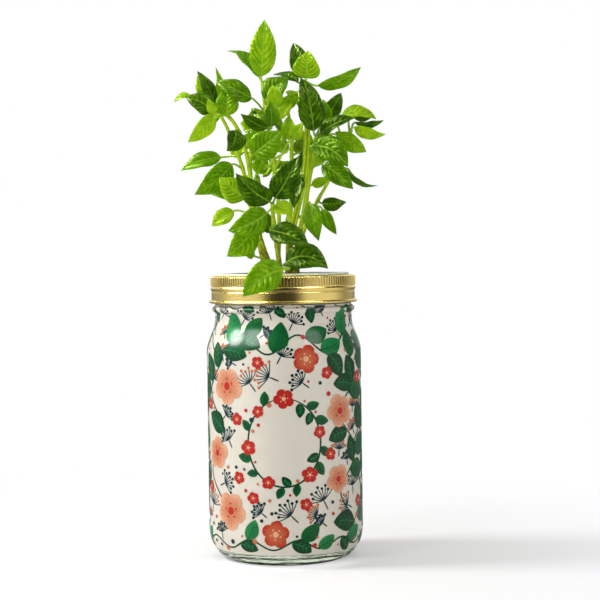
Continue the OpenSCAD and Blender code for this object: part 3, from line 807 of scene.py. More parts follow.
@dataclass
class PrintedSkin:
    """The printed film round body, shoulder and neck: its ground, and its motifs as thin inks.

    Spots on the print are given flat, as (way round, way up) in metres from the middle of the front
    and from the lower edge.
    """

    body_r: float = 48.8 * MM
    neck_r: float = 43.4 * MM
    stand_r: float = 35 * MM
    heel_h: float = 20 * MM
    foot_z: float = 8 * MM
    shoulder_z: float = 131.06 * MM
    shoulder_h: float = 21 * MM
    collar_z: float = 158.06 * MM
    collar_r: float = 1.9 * MM
    collar_sunk: float = 0.3 * MM
    top_z: float = 161.26 * MM
    margin: float = 0.3 * MM
    stacking: float = 0.008 * MM
    petals: int = 5
    wreath_y: float = 70 * MM
    wreath_half_w: float = 23 * MM
    wreath_half_h: float = 27 * MM
    bare_r: float = 17 * MM
    seed: int = 11

    def __post_init__(self) -> None:
        """Works out the outline that the inks are wrapped on."""
        self.bodies = {layer: Stock() for layer in Layer}
        self.flats: dict[Layer, list[Array]] = {layer: [] for layer in Layer}
        self.taken: list[tuple[float, float, float]] = []
        self.rng = np.random.default_rng(self.seed)
        start = -math.asin(1 - self.foot_z / self.heel_h)
        heel = [(self.stand_r + (self.body_r - self.stand_r) * math.cos(q),
                 self.heel_h + self.heel_h * math.sin(q)) for q in np.linspace(start, 0, 12)]
        shoulder = [((self.body_r + self.neck_r) / 2
                     + (self.body_r - self.neck_r) / 2 * math.cos(math.pi * q),
                     self.shoulder_z + self.shoulder_h * q) for q in np.linspace(0, 1, 24)]
        collar = [(self.neck_r - self.collar_sunk + self.collar_r * math.cos(q),
                   self.collar_z + self.collar_r * math.sin(q))
                  for q in np.linspace(-math.pi / 2, math.pi / 2, 14)]
        self.outline = np.array(heel + shoulder + collar + [(self.neck_r, self.top_z)])
        steps = np.linalg.norm(np.diff(self.outline, axis=0), axis=1)
        self.height = np.concatenate([[0], np.cumsum(steps)])
        way = unit(np.gradient(self.outline, self.height, axis=0))
        self.outward = np.stack([way[:, 1], -way[:, 0]], axis=1)
        self.girth = 2 * math.pi * self.body_r

    def wrap(self, flat: Array, lift: float) -> Array:
        """Puts flat spots on the skin.

        Args:
            flat: Spots, one in each row.
            lift: How far over the skin they lie.

        Returns:
            The points in space.
        """
        turn, up = flat[:, 0] / self.body_r, flat[:, 1]
        r, z, out_r, out_z = (np.interp(up, self.height, column) for column in
                              (*self.outline.T, *self.outward.T))
        r, z = r + out_r * lift, z + out_z * lift
        return np.stack([r * np.sin(turn), -r * np.cos(turn), z], axis=1)

    def lay(self, layer: Layer, flat: Array, faces: Sequence[Sequence[int]], colour: Array,
            over: float = 0.0) -> None:
        """Adds a shape to one ink.

        Args:
            layer: The ink's layer.
            flat: The shape's spots.
            faces: Its faces.
            colour: The colour of each spot, or one colour for all.
            over: How far it lies over the rest of its layer.
        """
        n, top = len(flat), self.height[-1]
        x, y = flat[:, 0], np.clip(flat[:, 1], self.margin, top - self.margin)
        ink = np.column_stack([np.broadcast_to(colour, (n, 3)), np.ones(n)])
        points = self.wrap(np.column_stack([x, y]), layer.value + over)
        self.bodies[layer].add(points, faces, ink=ink)
        self.flats[layer].append(np.stack([x / self.girth + 0.5, y / top], axis=1))

    def is_free(self, spots: Sequence[Spot], r: float) -> bool:
        """Whether a chain of spots is clear of what is laid already.

        Args:
            spots: The spots.
            r: The radius that each needs.

        Returns:
            True if nothing is in the way.
        """
        half, edge = self.girth / 2, 1.5 * MM
        for x, y in spots:
            if not edge < y < self.height[-1] - edge:
                return False
            for a, b, taken_r in self.taken:
                gap = (x - a + half) % self.girth - half
                if gap * gap + (y - b) ** 2 < (r + taken_r) ** 2:
                    return False
        return True

    def take(self, spots: Sequence[Spot], r: float) -> None:
        """Marks spots as laid."""
        self.taken.extend((x, y, r) for x, y in spots)

    def tongue(self, layer: Layer, foot: Array, turn: float, length: float, width: float,
               shape: Callable[[Array], Array], low: Colour, high: Colour, lean: float = 0.0,
               split: float = 0.0, over: float = 0.0) -> None:
        """Lays a leaf or petal.

        Args:
            layer: The ink's layer.
            foot: Where it starts.
            turn: Its direction, from straight up towards the right.
            length: Its length.
            width: Its full width.
            shape: Half width along it, as a share of its full half width.
            low: The colour at its foot.
            high: The colour at its tip.
            lean: How far its middle bows sideways, as a share of its length.
            split: How much darker one half is.
            over: How far it lies over the rest of its layer.
        """
        rows, lanes = 13, 7
        u, v = np.meshgrid(np.linspace(0, 1, rows), np.linspace(-1, 1, lanes), indexing="ij")
        u, v = u.ravel(), v.ravel()
        along = u * length
        side = v * shape(u) * width / 2 + lean * length * 4 * u * (1 - u)
        s, c = heading(turn)
        flat = np.stack([foot[0] + along * s + side * c, foot[1] + along * c - side * s], axis=1)
        faces = [(a, a + 1, a + lanes + 1, a + lanes) for k in range(rows - 1)
                 for a in range(k * lanes, (k + 1) * lanes - 1)]
        tint = (np.outer(1 - u, low) + np.outer(u, high)) * (1 - split * (v > 0.1))[:, None]
        self.lay(layer, flat, faces, tint, over)

    def disc(self, layer: Layer, middle: Array, r: float, ink: Ink, over: float = 0.0) -> None:
        """Lays a round dot.

        Args:
            layer: The ink's layer.
            middle: Its middle.
            r: Its radius.
            ink: Its ink.
            over: How far it lies over the rest of its layer.
        """
        n = 14
        q = np.arange(n) * 2 * math.pi / n
        rim = np.stack([np.cos(q), np.sin(q)], axis=1)
        flat = np.concatenate([[middle], middle + rim * r / 2, middle + rim * r])
        pairs = [(1 + k, 1 + (k + 1) % n) for k in range(n)]
        faces = [(0, a, b) for a, b in pairs] + [(a, a + n, b + n, b) for a, b in pairs]
        self.lay(layer, flat, faces, ink.value, over)

    def stroke(self, path: Array, width: float, ink: Ink, layer: Layer = Layer.VINE) -> None:
        """Lays a line of even width.

        Args:
            path: The line's spots.
            width: Its width, which narrows at both ends.
            ink: Its ink.
            layer: The ink's layer.
        """
        way = unit(np.gradient(path, axis=0))
        side = np.stack([way[:, 1], -way[:, 0]], axis=1)
        share = np.linspace(0, 1, len(path))
        half = (width / 2 * np.minimum(1, 0.35 + 6 * np.minimum(share, 1 - share)))[:, None]
        flat = np.stack([path - side * half, path + side * half], axis=1).reshape(-1, 2)
        faces = [(2 * k, 2 * k + 1, 2 * k + 3, 2 * k + 2) for k in range(len(path) - 1)]
        self.lay(layer, flat, faces, ink.value)

    def blossom(self, x: float, y: float, r: float, outer: Ink, inner: Ink, heart: Ink) -> None:
        """Lays a round-petalled blossom with dots about its heart.

        Args:
            x: Way round of its middle.
            y: Way up of its middle.
            r: Its radius.
            outer: Ink of the petals' edges.
            inner: Ink of their feet.
            heart: Ink of its middle.
        """
        middle = np.array([x, y])
        turn = self.rng.uniform(0, math.tau)
        width = 2.25 * r * math.sin(math.pi / self.petals) * 0.86
        for k in range(self.petals):
            q = turn + k * math.tau / self.petals
            self.tongue(Layer.BLOSSOM, middle, q, r * (0.94 + 0.06 * (k % 2)), width, petal,
                        inner.value, outer.value, split=0.08, over=self.stacking * k)
            for bend in (-0.26, 0.0, 0.26) if r > 6 * MM else ():
                way = np.linspace(0.3, 0.82 - abs(bend) * 0.5, 7)[:, None] * r
                self.stroke(middle + way * heading(q + bend), 0.4 * MM, inner, Layer.HEART)
            between = heading(q + math.pi / self.petals)
            self.disc(Layer.HEART, middle + 0.36 * r * between, r * 0.06, heart)
        self.disc(Layer.HEART, middle, r * 0.2, heart)
        self.take([(x, y)], r)

    def leaf(self, foot: Array, turn: float, size: float, side: int, ink: Ink, over: float) -> None:
        """Lays a pointed leaf with its veins.

        Args:
            foot: Where it leaves its vine.
            turn: Its direction.
            size: Its length.
            side: The side of the vine that it is on, 1 or -1.
            ink: Its ink.
            over: How far it lies over the rest of its layer.
        """
        tip = heading(turn)
        across = np.array([tip[1], -tip[0]])
        vein = {Ink.GRASS: Ink.TEAL, Ink.FOREST: Ink.SAGE}.get(ink, Ink.FOREST)
        self.tongue(Layer.FOLIAGE, foot + tip * 0.8 * MM, turn, size, size * 0.66, pointed,
                    ink.value, ink.value, lean=-0.07 * side, split=0.22, over=over)

        def midrib(share: float) -> Array:
            """The spot on the midrib at a share of the length."""
            return foot + tip * size * share - across * size * 0.28 * side * share * (1 - share)

        self.stroke(np.stack([midrib(share) for share in np.linspace(0.0, 0.85, 9)]), 0.4 * MM,
                    vein, Layer.BLOSSOM)
        for share in (0.3, 0.5, 0.68):
            for hand in (-1, 1):
                start = midrib(share)
                end = start + size * (0.15 * tip + 0.17 * hand * across)
                self.stroke(np.linspace(start, end, 4), 0.3 * MM, vein, Layer.BLOSSOM)

    def leafy(self, path: Array, gap: float, length: float, inks: Sequence[Ink]) -> None:
        """Lays a vine with pointed leaves on both sides.

        Args:
            path: The vine's line.
            gap: Distance from one leaf to the next.
            length: A leaf's length.
            inks: Inks that its leaves take in turn.
        """
        self.stroke(path, 1.1 * MM, Ink.FOREST)
        ways = np.concatenate([[0], np.cumsum(np.linalg.norm(np.diff(path, axis=0), axis=1))])
        for k, way in enumerate(np.arange(gap / 2, ways[-1], gap)):
            foot, ahead = (np.array([np.interp(at, ways, line) for line in path.T])
                           for at in (way, way + MM))
            side = 1 if k % 2 else -1
            turn = math.atan2(*(ahead - foot)) + side * self.rng.uniform(0.75, 1.05)
            size = length * self.rng.uniform(0.85, 1.15)
            spots = [tuple(foot + heading(turn) * size * share) for share in (0.35, 0.6, 0.85)]
            if self.is_free(spots, size * 0.19):
                self.leaf(foot, turn, size, side, inks[k % len(inks)], self.stacking * (k % 6))
                self.take(spots, size * 0.17)

    def umbel(self, x: float, y: float, turn: float, size: float, bead: Ink = Ink.TEAL) -> None:
        """Lays a spray of fine stalks that end in dots, if there is room for it.

        Args:
            x: Way round of its foot.
            y: Way up of its foot.
            turn: Its direction.
            size: Its height.
            bead: Ink of the dots.
        """
        foot = np.array([x, y])
        head = foot + size * 0.45 * heading(turn)
        crown = foot + size * 0.75 * heading(turn)
        if not self.is_free([tuple(foot), tuple(head), tuple(crown)], size * 0.22):
            return
        self.stroke(np.linspace(foot, head, 6), 0.85 * MM, Ink.TEAL)
        share = np.linspace(0, 1, 7)[:, None]
        for k in range(-4, 5):
            ray = size * (0.5 if k % 2 else 0.62)
            end = head + ray * heading(turn + k * 0.3)
            bow = 0.06 * size * k / 4 * np.array([math.cos(turn), -math.sin(turn)])
            self.stroke(head + (end - head) * share + bow * 4 * share * (1 - share), 0.6 * MM,
                        Ink.TEAL)
            self.disc(Layer.VINE, end, 0.95 * MM, bead, 0.03 * MM)
        self.take([tuple(foot), tuple(head)], size * 0.12)
        self.take([tuple(crown)], size * 0.38)

    def wreath(self) -> None:
        """Lays a wreath round a middle that stays bare."""
        self.take([(0, self.wreath_y)], self.bare_r)
        for turn, r in WREATH_BLOSSOMS:
            self.blossom(self.wreath_half_w * math.sin(turn),
                         self.wreath_y + self.wreath_half_h * math.cos(turn), r * MM,
                         Ink.RED, Ink.RED, Ink.PEACH)
        turns = np.linspace(0.12, math.tau - 0.12, 120)
        self.leafy(np.stack([self.wreath_half_w * np.sin(turns),
                             self.wreath_y + self.wreath_half_h * np.cos(turns)], axis=1),
                   4.6 * MM, 8.5 * MM, (Ink.GRASS, Ink.FOREST))

    def blossoms(self) -> None:
        """Lays the blossoms in front, and scatters others at the back."""
        for x, y, r in LARGE_BLOSSOMS:
            inks = (Ink.PEACH, Ink.RUST, Ink.RED) if r > 9.2 else (Ink.RED, Ink.RUST, Ink.PEACH)
            self.blossom(x * MM, y * MM, r * MM, *inks)
        for column in BACK_COLUMNS:
            for y in (24, 64, 104):
                self.blossom(column * MM + self.rng.uniform(-9, 9) * MM,
                             y * MM + self.rng.uniform(-6, 6) * MM,
                             self.rng.uniform(9.5, 12) * MM, Ink.PEACH, Ink.RUST, Ink.RED)
        for x, y in SMALL_BLOSSOMS:
            self.blossom(x * MM, y * MM, 4.2 * MM, Ink.RED, Ink.RED, Ink.PEACH)

    def vines(self) -> None:
        """Lays the climbing vines, then the garlands."""
        rise = np.linspace(0, 1, 90)
        for k, column in enumerate(COLUMNS):
            self.leafy(np.stack([column * MM + 8 * MM * np.sin(rise * 2.2 * math.tau + 1.7 * k),
                                 (14 + 108 * rise) * MM], axis=1),
                       6 * MM, 19 * MM, (Ink.FOREST, Ink.GRASS))
        way = np.linspace(-0.5, 0.5, 320) * self.girth
        for level, bow, waves, size in GARLANDS:
            bows = bow * MM * np.sin(way / self.girth * math.tau * waves)
            self.leafy(np.stack([way, level * MM + bows], axis=1), 6.2 * MM, size * MM,
                       (Ink.GRASS, Ink.FOREST, Ink.SAGE, Ink.FOREST))

    def sprays(self) -> None:
        """Lays the sprays in front, and tries others all round, larger ones first."""
        for x, y, turn, size in SPRAYS:
            self.umbel(x * MM, y * MM, turn, size * MM)
        for size in (15, 12.5, 10, 8.5):
            for _ in range(520):
                self.umbel(self.rng.uniform(-0.5, 0.5) * self.girth,
                           self.rng.uniform(3, 162 - size * 0.9) * MM, self.rng.uniform(-1.2, 1.2),
                           size * MM, Ink.RUST if self.rng.random() < 0.35 else Ink.TEAL)

    def dots(self) -> None:
        """Lays dots in the gaps."""
        for _ in range(1500):
            x, y = self.rng.uniform(-0.5, 0.5) * self.girth, self.rng.uniform(3, 163) * MM
            r = self.rng.choice([0.8, 1.1, 1.5]) * MM
            if self.is_free([(x, y)], r + 1.2 * MM):
                ink = (Ink.RED, Ink.TEAL, Ink.RUST)[self.rng.integers(3)]
                self.disc(Layer.HEART, np.array([x, y]), r, ink)
                self.take([(x, y)], r + 1.5 * MM)

    def build(self) -> None:
        """Dresses the skin and makes its inks."""
        dress("printed_skin", CreamGround())
        for lay_out in (self.wreath, self.blossoms, self.vines, self.sprays, self.dots):
            lay_out()
        ink = PrintInk().material()
        for layer, name in ((Layer.VINE, "print_vines"), (Layer.FOLIAGE, "print_leaves"),
                            (Layer.BLOSSOM, "print_blossoms"), (Layer.HEART, "print_dots")):
            piece = self.bodies[layer].piece(name, ink, flat_map=np.concatenate(self.flats[layer]))
            settle(piece, "jar", "print")


# The stems' routes, each point as (side, height, depth) in shares of the herb's reach, height and
# reach
STEM_ROUTES: tuple[tuple[Place, ...], ...] = (
    ((-0.1, -0.12, -0.06), (-0.14, 0.03, -0.08), (-0.23, 0.16, -0.1), (-0.29, 0.3, -0.1),
     (-0.315, 0.41, -0.1), (-0.38, 0.53, -0.12), (-0.48, 0.61, -0.14), (-0.6, 0.65, -0.15)),
    ((-0.16, -0.12, 0.06), (-0.19, 0.03, 0.06), (-0.27, 0.19, 0.05), (-0.34, 0.32, 0.04),
     (-0.385, 0.42, 0.03), (-0.5, 0.55, 0.02), (-0.58, 0.62, 0.01), (-0.64, 0.66, 0)),
    ((-0.02, -0.12, -0.2), (-0.03, 0.02, -0.22), (-0.065, 0.135, -0.26), (-0.09, 0.235, -0.3),
     (-0.095, 0.28, -0.32)),
    ((-0.06, -0.12, 0), (-0.045, 0.02, 0.02), (-0.03, 0.22, 0.05), (-0.06, 0.4, 0.04),
     (-0.11, 0.54, 0), (-0.155, 0.66, -0.02), (-0.18, 0.77, -0.02)),
    ((0.09, -0.12, -0.04), (0.083, 0, -0.04), (0.07, 0.11, -0.04), (0.14, 0.236, -0.04),
     (0.225, 0.38, -0.03), (0.26, 0.53, 0), (0.255, 0.65, 0.03), (0.235, 0.765, 0.05)),
    ((0.15, -0.12, 0.1), (0.14, 0.03, 0.1), (0.165, 0.14, 0.1), (0.22, 0.25, 0.09),
     (0.27, 0.36, 0.08), (0.32, 0.485, 0.06), (0.36, 0.555, 0.05)),
    ((0.12, -0.12, 0.24), (0.13, 0.03, 0.24), (0.22, 0.17, 0.22), (0.36, 0.29, 0.18),
     (0.46, 0.36, 0.14), (0.6, 0.48, 0.1), (0.7, 0.56, 0.06)),
    ((0.05, -0.12, 0.34), (0.05, 0.03, 0.36), (0.08, 0.2, 0.42), (0.1, 0.38, 0.46),
     (0.1, 0.55, 0.46), (0.06, 0.68, 0.42)),
    ((-0.14, -0.12, 0.22), (-0.16, 0.03, 0.26), (-0.24, 0.18, 0.34), (-0.3, 0.34, 0.4),
     (-0.3, 0.5, 0.42), (-0.26, 0.62, 0.4)),
)

# The leaves of each stem: a row has a leaf's numbers in the order in which Leaf names them
LEAF_ROWS: tuple[tuple[tuple[float, ...], ...], ...] = (
    ((6.2, -0.53, 0.63, -0.2, -0.55, 0.735, -0.16, 0.24, 15, 0.1, 0.6),
     (6.65, -0.66, 0.635, -0.26, -0.925, 0.525, -0.3, 0.18, -25, 0.12, 0.85),
     (6.9, -0.64, 0.675, -0.1, -0.82, 0.81, -0.12, 0.16, 40, 0.05, 0.2),
     (6.8, -0.67, 0.65, -0.2, -0.945, 0.71, -0.27, 0.22, 20, 0.15, 0.25),
     (6.5, -0.66, 0.64, -0.35, -0.72, 0.7, -0.42, 0.1, 0, 0.1, 0.78),
     (5.4, -0.45, 0.57, -0.2, -0.54, 0.49, -0.28, 0.22, -20, 0.1, 0.2, 0.1),
     (4.1, -0.28, 0.475, -0.3, 0, 0.565, -0.36, 0.3, 10, 0.1, 0.5),
     (3, -0.36, 0.3, -0.16, -0.62, 0.385, -0.22, 0.26, -10, 0.12, 0.75),
     (2.4, -0.48, 0.25, -0.06, -0.7, 0.19, -0.06, 0.18, 30, 0.1, 0.82),
     (2.2, -0.28, 0.175, -0.28, -0.55, 0.065, -0.38, 0.28, -15, 0.12, 0.62),
     (1.2, -0.28, 0.07, -0.16, -0.4, 0.095, -0.22, 0.12, 20, 0.1, 0.8)),
    ((6.9, -0.7, 0.69, 0.11, -0.81, 0.8, 0.13, 0.2, 10, 0.1, 0.72),
     (6.6, -0.62, 0.685, 0.02, -0.63, 0.825, 0.06, 0.13, 45, 0.05, 0.75),
     (6.55, -0.9, 0.715, -0.05, -1.06, 0.688, 0, 0.1, 50, 0.1, 0.88),
     (4.4, -0.6, 0.465, 0.08, -1, 0.415, 0.1, 0.2, 25, 0.14, 0.5),
     (4, -0.49, 0.435, -0.02, -0.865, 0.315, -0.16, 0.27, -20, 0.14, 0.48),
     (2.8, -0.46, 0.3, 0.06, -0.71, 0.32, 0.06, 0.1, 30, 0.1, 0.5),
     (5, -0.4, 0.5, 0.12, -0.28, 0.56, 0.16, 0.14, 10, 0.1, 0.8),
     (6.2, -0.6, 0.64, 0.14, -0.68, 0.66, 0.38, 0.24, 190, 0.14, 0.4)),
    ((3.85, -0.12, 0.285, -0.36, -0.455, 0.4, -0.5, 0.27, -20, 0.12, 0.18),
     (3.8, -0.065, 0.3, -0.34, 0.165, 0.465, -0.46, 0.28, 15, 0.12, 0.15),
     (3.6, -0.07, 0.27, -0.39, 0.1, 0.23, -0.46, 0.18, -20, 0.15, 0.82),
     (3.5, -0.15, 0.24, -0.36, -0.54, 0.17, -0.5, 0.28, -25, 0.14, 0.5),
     (2.6, -0.11, 0.17, -0.36, 0.27, 0.105, -0.48, 0.28, -30, 0.1, 0.2),
     (1, 0, 0.012, -0.7637, -0.4, -0.095, -0.8837, 0.3, -10, 0.1, 0.55, -0.12)),
    ((5.85, -0.19, 0.785, -0.03, -0.145, 1.012, -0.08, 0.27, 5, 0.06, 0.72),
     (5.7, -0.21, 0.785, 0.05, -0.51, 0.896, 0.14, 0.24, 50, 0.1, 0.5),
     (4.8, -0.29, 0.7, -0.1, -0.64, 0.776, -0.16, 0.22, 30, 0.14, 0.35, 0.1),
     (5.5, -0.15, 0.69, -0.06, 0.08, 0.785, -0.04, 0.26, -15, 0.12, 0.4),
     (5.05, -0.04, 0.67, -0.19, -0.085, 0.75, -0.23, 0.16, 10, 0.1, 0.78),
     (4.9, 0, 0.66, -0.06, 0.19, 0.715, -0.08, 0.14, 20, 0.1, 0.75),
     (4.6, -0.09, 0.585, -0.22, -0.11, 0.685, -0.28, 0.16, 15, 0.1, 0.35),
     (4.8, -0.02, 0.615, -0.12, 0.125, 0.68, -0.1, 0.14, -30, 0.1, 0.9),
     (4.3, -0.13, 0.58, -0.1, -0.4, 0.636, -0.16, 0.15, -25, 0.12, 0.2),
     (3.3, -0.25, 0.4, 0.1, -0.15, 0.468, 0.12, 0.17, 0, 0.1, 0.62),
     (4.5, -0.35, 0.58, 0.14, -0.27, 0.64, 0.16, 0.14, 20, 0.1, 0.82),
     (4.2, -0.24, 0.54, 0.26, -0.235, 0.64, 0.28, 0.13, 10, 0.1, 0.82),
     (3.35, 0.12, 0.53, -0.06, 0.07, 0.63, -0.1, 0.18, -15, 0.15, 0.75),
     (3.1, 0.1, 0.535, -0.2, 0.22, 0.6, -0.3, 0.14, 10, 0.15, 0.75),
     (1.6, -0.12, 0.16, 0.1, -0.2, 0.256, 0.12, 0.16, 10, 0.1, 0.2),
     (3, -0.1, 0.42, 0.16, -0.16, 0.44, 0.44, 0.24, 185, 0.14, 0.4),
     (4.75, -0.06, 0.6, 0.14, 0, 0.62, 0.4, 0.24, 175, 0.14, 0.4)),
    ((7, 0.21, 0.775, 0.16, 0.135, 0.92, 0.22, 0.21, 20, 0.08, 0.2),
     (7, 0.26, 0.775, -0.02, 0.28, 0.885, -0.12, 0.28, 0, 0.1, 0.72),
     (7, 0.375, 0.745, 0.05, 0.81, 0.816, 0.1, 0.18, 55, 0.14, 0.5, 0.05),
     (6.7, 0.18, 0.76, 0.02, -0.07, 0.79, 0.12, 0.16, 50, 0.1, 0.2),
     (4, 0.185, 0.385, -0.16, 0.11, 0.256, -0.24, 0.17, 15, 0.08, 0.18),
     (1.3, 0.03, 0.04, -0.3, 0.455, 0.016, -0.46, 0.3, -20, 0.14, 0.2, 0.15),
     (4.6, 0.2, 0.41, 0.16, 0.27, 0.505, 0.18, 0.15, 0, 0.1, 0.2),
     (5, 0.27, 0.53, 0.12, 0.3, 0.55, 0.4, 0.24, 175, 0.14, 0.4),
     (6.2, 0.26, 0.68, 0.12, 0.31, 0.7, 0.38, 0.23, 170, 0.14, 0.4)),
    ((6, 0.325, 0.565, -0.18, 0.22, 0.785, -0.14, 0.29, 15, 0.1, 0.18),
     (5.8, 0.44, 0.615, 0.15, 0.605, 0.716, 0.18, 0.18, 20, 0.1, 0.2),
     (5.7, 0.45, 0.6, 0.01, 0.42, 0.692, -0.02, 0.17, -15, 0.1, 0.5),
     (5.5, 0.39, 0.552, -0.08, 0.745, 0.615, -0.18, 0.2, -35, 0.12, 0.18),
     (5.6, 0.55, 0.548, 0.04, 0.85, 0.475, 0.06, 0.19, 25, 0.12, 0.66, 0.05),
     (5, 0.31, 0.505, -0.18, 0.66, 0.42, -0.32, 0.28, -20, 0.12, 0.35, 0.1),
     (4.4, 0.41, 0.43, -0.12, 0.715, 0.33, -0.2, 0.21, -15, 0.12, 0.35),
     (2.6, 0.28, 0.275, -0.1, 0.36, 0.125, -0.18, 0.2, 10, 0.1, 0.5),
     (3.4, 0.3, 0.35, 0.13, 0.465, 0.38, 0.12, 0.11, 20, 0.1, 0.8)),
    ((5.3, 0.6, 0.625, 0, 0.955, 0.61, -0.04, 0.18, -40, 0.15, 0.75, 0.06),
     (5.75, 0.72, 0.635, 0.15, 0.93, 0.62, 0.16, 0.15, 20, 0.12, 0.2),
     (5.9, 0.74, 0.595, 0.03, 1.02, 0.604, 0.04, 0.12, 70, 0.1, 0.22),
     (5.65, 0.73, 0.575, -0.04, 1.04, 0.545, -0.04, 0.16, 40, 0.12, 0.8),
     (4.4, 0.66, 0.41, 0.08, 0.95, 0.34, 0.06, 0.13, 70, 0.2, 0.22, 0.15),
     (3, 0.4, 0.276, 0.1, 0.64, 0.28, 0.1, 0.16, 20, 0.12, 0.2),
     (2.7, 0.4, 0.252, 0.04, 0.54, 0.15, 0.04, 0.13, 15, 0.1, 0.5),
     (5.6, 0.66, 0.55, 0.16, 0.7, 0.56, 0.44, 0.24, 170, 0.14, 0.4),
     (4.6, 0.56, 0.47, 0.2, 0.62, 0.45, 0.46, 0.24, 170, 0.14, 0.4)),
    ((4.9, 0.14, 0.7, 0.5, 0.26, 0.72, 0.74, 0.26, 170, 0.12, 0.45),
     (4.8, -0.02, 0.65, 0.52, -0.14, 0.71, 0.74, 0.26, 190, 0.12, 0.4),
     (4, 0.16, 0.54, 0.56, 0.34, 0.5, 0.82, 0.27, 165, 0.14, 0.3),
     (4, 0.04, 0.54, 0.56, -0.12, 0.5, 0.8, 0.27, 195, 0.14, 0.45),
     (3, 0.1, 0.385, 0.58, 0.12, 0.3, 0.84, 0.26, 180, 0.16, 0.3),
     (3.15, 0.02, 0.42, 0.54, -0.12, 0.45, 0.8, 0.24, 200, 0.14, 0.5),
     (2, 0.08, 0.22, 0.52, 0.06, 0.24, 0.78, 0.22, 180, 0.14, 0.25),
     (3.5, 0.22, 0.48, 0.56, 0.5, 0.47, 0.72, 0.26, 160, 0.12, 0.45)),
    ((4.75, -0.34, 0.61, 0.46, -0.4, 0.6, 0.72, 0.26, 190, 0.14, 0.5),
     (4.9, -0.2, 0.63, 0.5, -0.1, 0.64, 0.74, 0.26, 170, 0.14, 0.35),
     (4.1, -0.34, 0.5, 0.5, -0.52, 0.53, 0.7, 0.26, 200, 0.12, 0.45),
     (4, -0.26, 0.5, 0.52, -0.16, 0.46, 0.78, 0.27, 175, 0.14, 0.3),
     (3.1, -0.34, 0.35, 0.48, -0.5, 0.34, 0.7, 0.27, 195, 0.14, 0.4),
     (3, -0.26, 0.35, 0.5, -0.18, 0.33, 0.76, 0.26, 175, 0.14, 0.3),
     (2.05, -0.28, 0.2, 0.42, -0.42, 0.18, 0.62, 0.25, 200, 0.14, 0.25),
     (1.8, -0.16, 0.2, 0.42, -0.1, 0.22, 0.68, 0.22, 170, 0.14, 0.35)),
)


@dataclass(frozen=True)
class Leaf:
    """One leaf: where it starts on its stem's route, and how its blade lies.

    Foot and tip of the blade are places in shares, its width is a share of the herb's reach, its
    roll is in degrees, and its tone runs from dark to pale.
    """

    at: float
    foot: Place
    tip: Place
    width: float
    roll: float
    bow: float
    tone: float
    side_bow: float = 0.0


class Blade:
    """The line and the lie of one leaf's blade in space."""

    def __init__(self, leaf: Leaf, foot: Array, tip: Array, rng: Any) -> None:
        """Works out the blade's directions.

        Args:
            leaf: The leaf.
            foot: Where the blade starts.
            tip: Where it ends.
            rng: The source of its small differences.
        """
        self.foot = foot
        self.reach = float(np.linalg.norm(tip - foot))
        self.axis = unit(tip - foot)
        front = unit(np.array([0, -1, 0]) + self.axis * self.axis[1])
        roll = math.radians(leaf.roll)
        self.face = front * math.cos(roll) + np.cross(self.axis, front) * math.sin(roll)
        self.bow = 4 * (self.face * leaf.bow + np.cross(self.face, self.axis) * leaf.side_bow)
        self.seed, self.droop = rng.uniform(0, 1), rng.uniform(0.1, 0.6)
        self.twist, self.hook = rng.uniform(-0.45, 0.45), rng.uniform(0.0, 0.1)
        self.phase = rng.uniform(0, math.tau, 4)

    def lie(self, share: Array | float) -> tuple[Array, Array, Array]:
        """The midrib's points, and the directions up and across there.

        Args:
            share: One or more shares of the length.

        Returns:
            Points, directions up and directions across.
        """
        u = np.asarray(share, float)[..., None]
        along = unit(self.axis + self.bow * (1 - 2 * u))
        up = swing(self.face, self.axis, along)
        across = np.cross(up, along)
        turn = self.twist * u
        up, across = (up * np.cos(turn) + across * np.sin(turn),
                      across * np.cos(turn) - up * np.sin(turn))
        middle = self.foot + self.axis * self.reach * u + self.bow * self.reach * u * (1 - u)
        return middle - up * self.hook * self.reach * np.clip(u - 0.6, 0, 1) ** 2 * 4, up, across


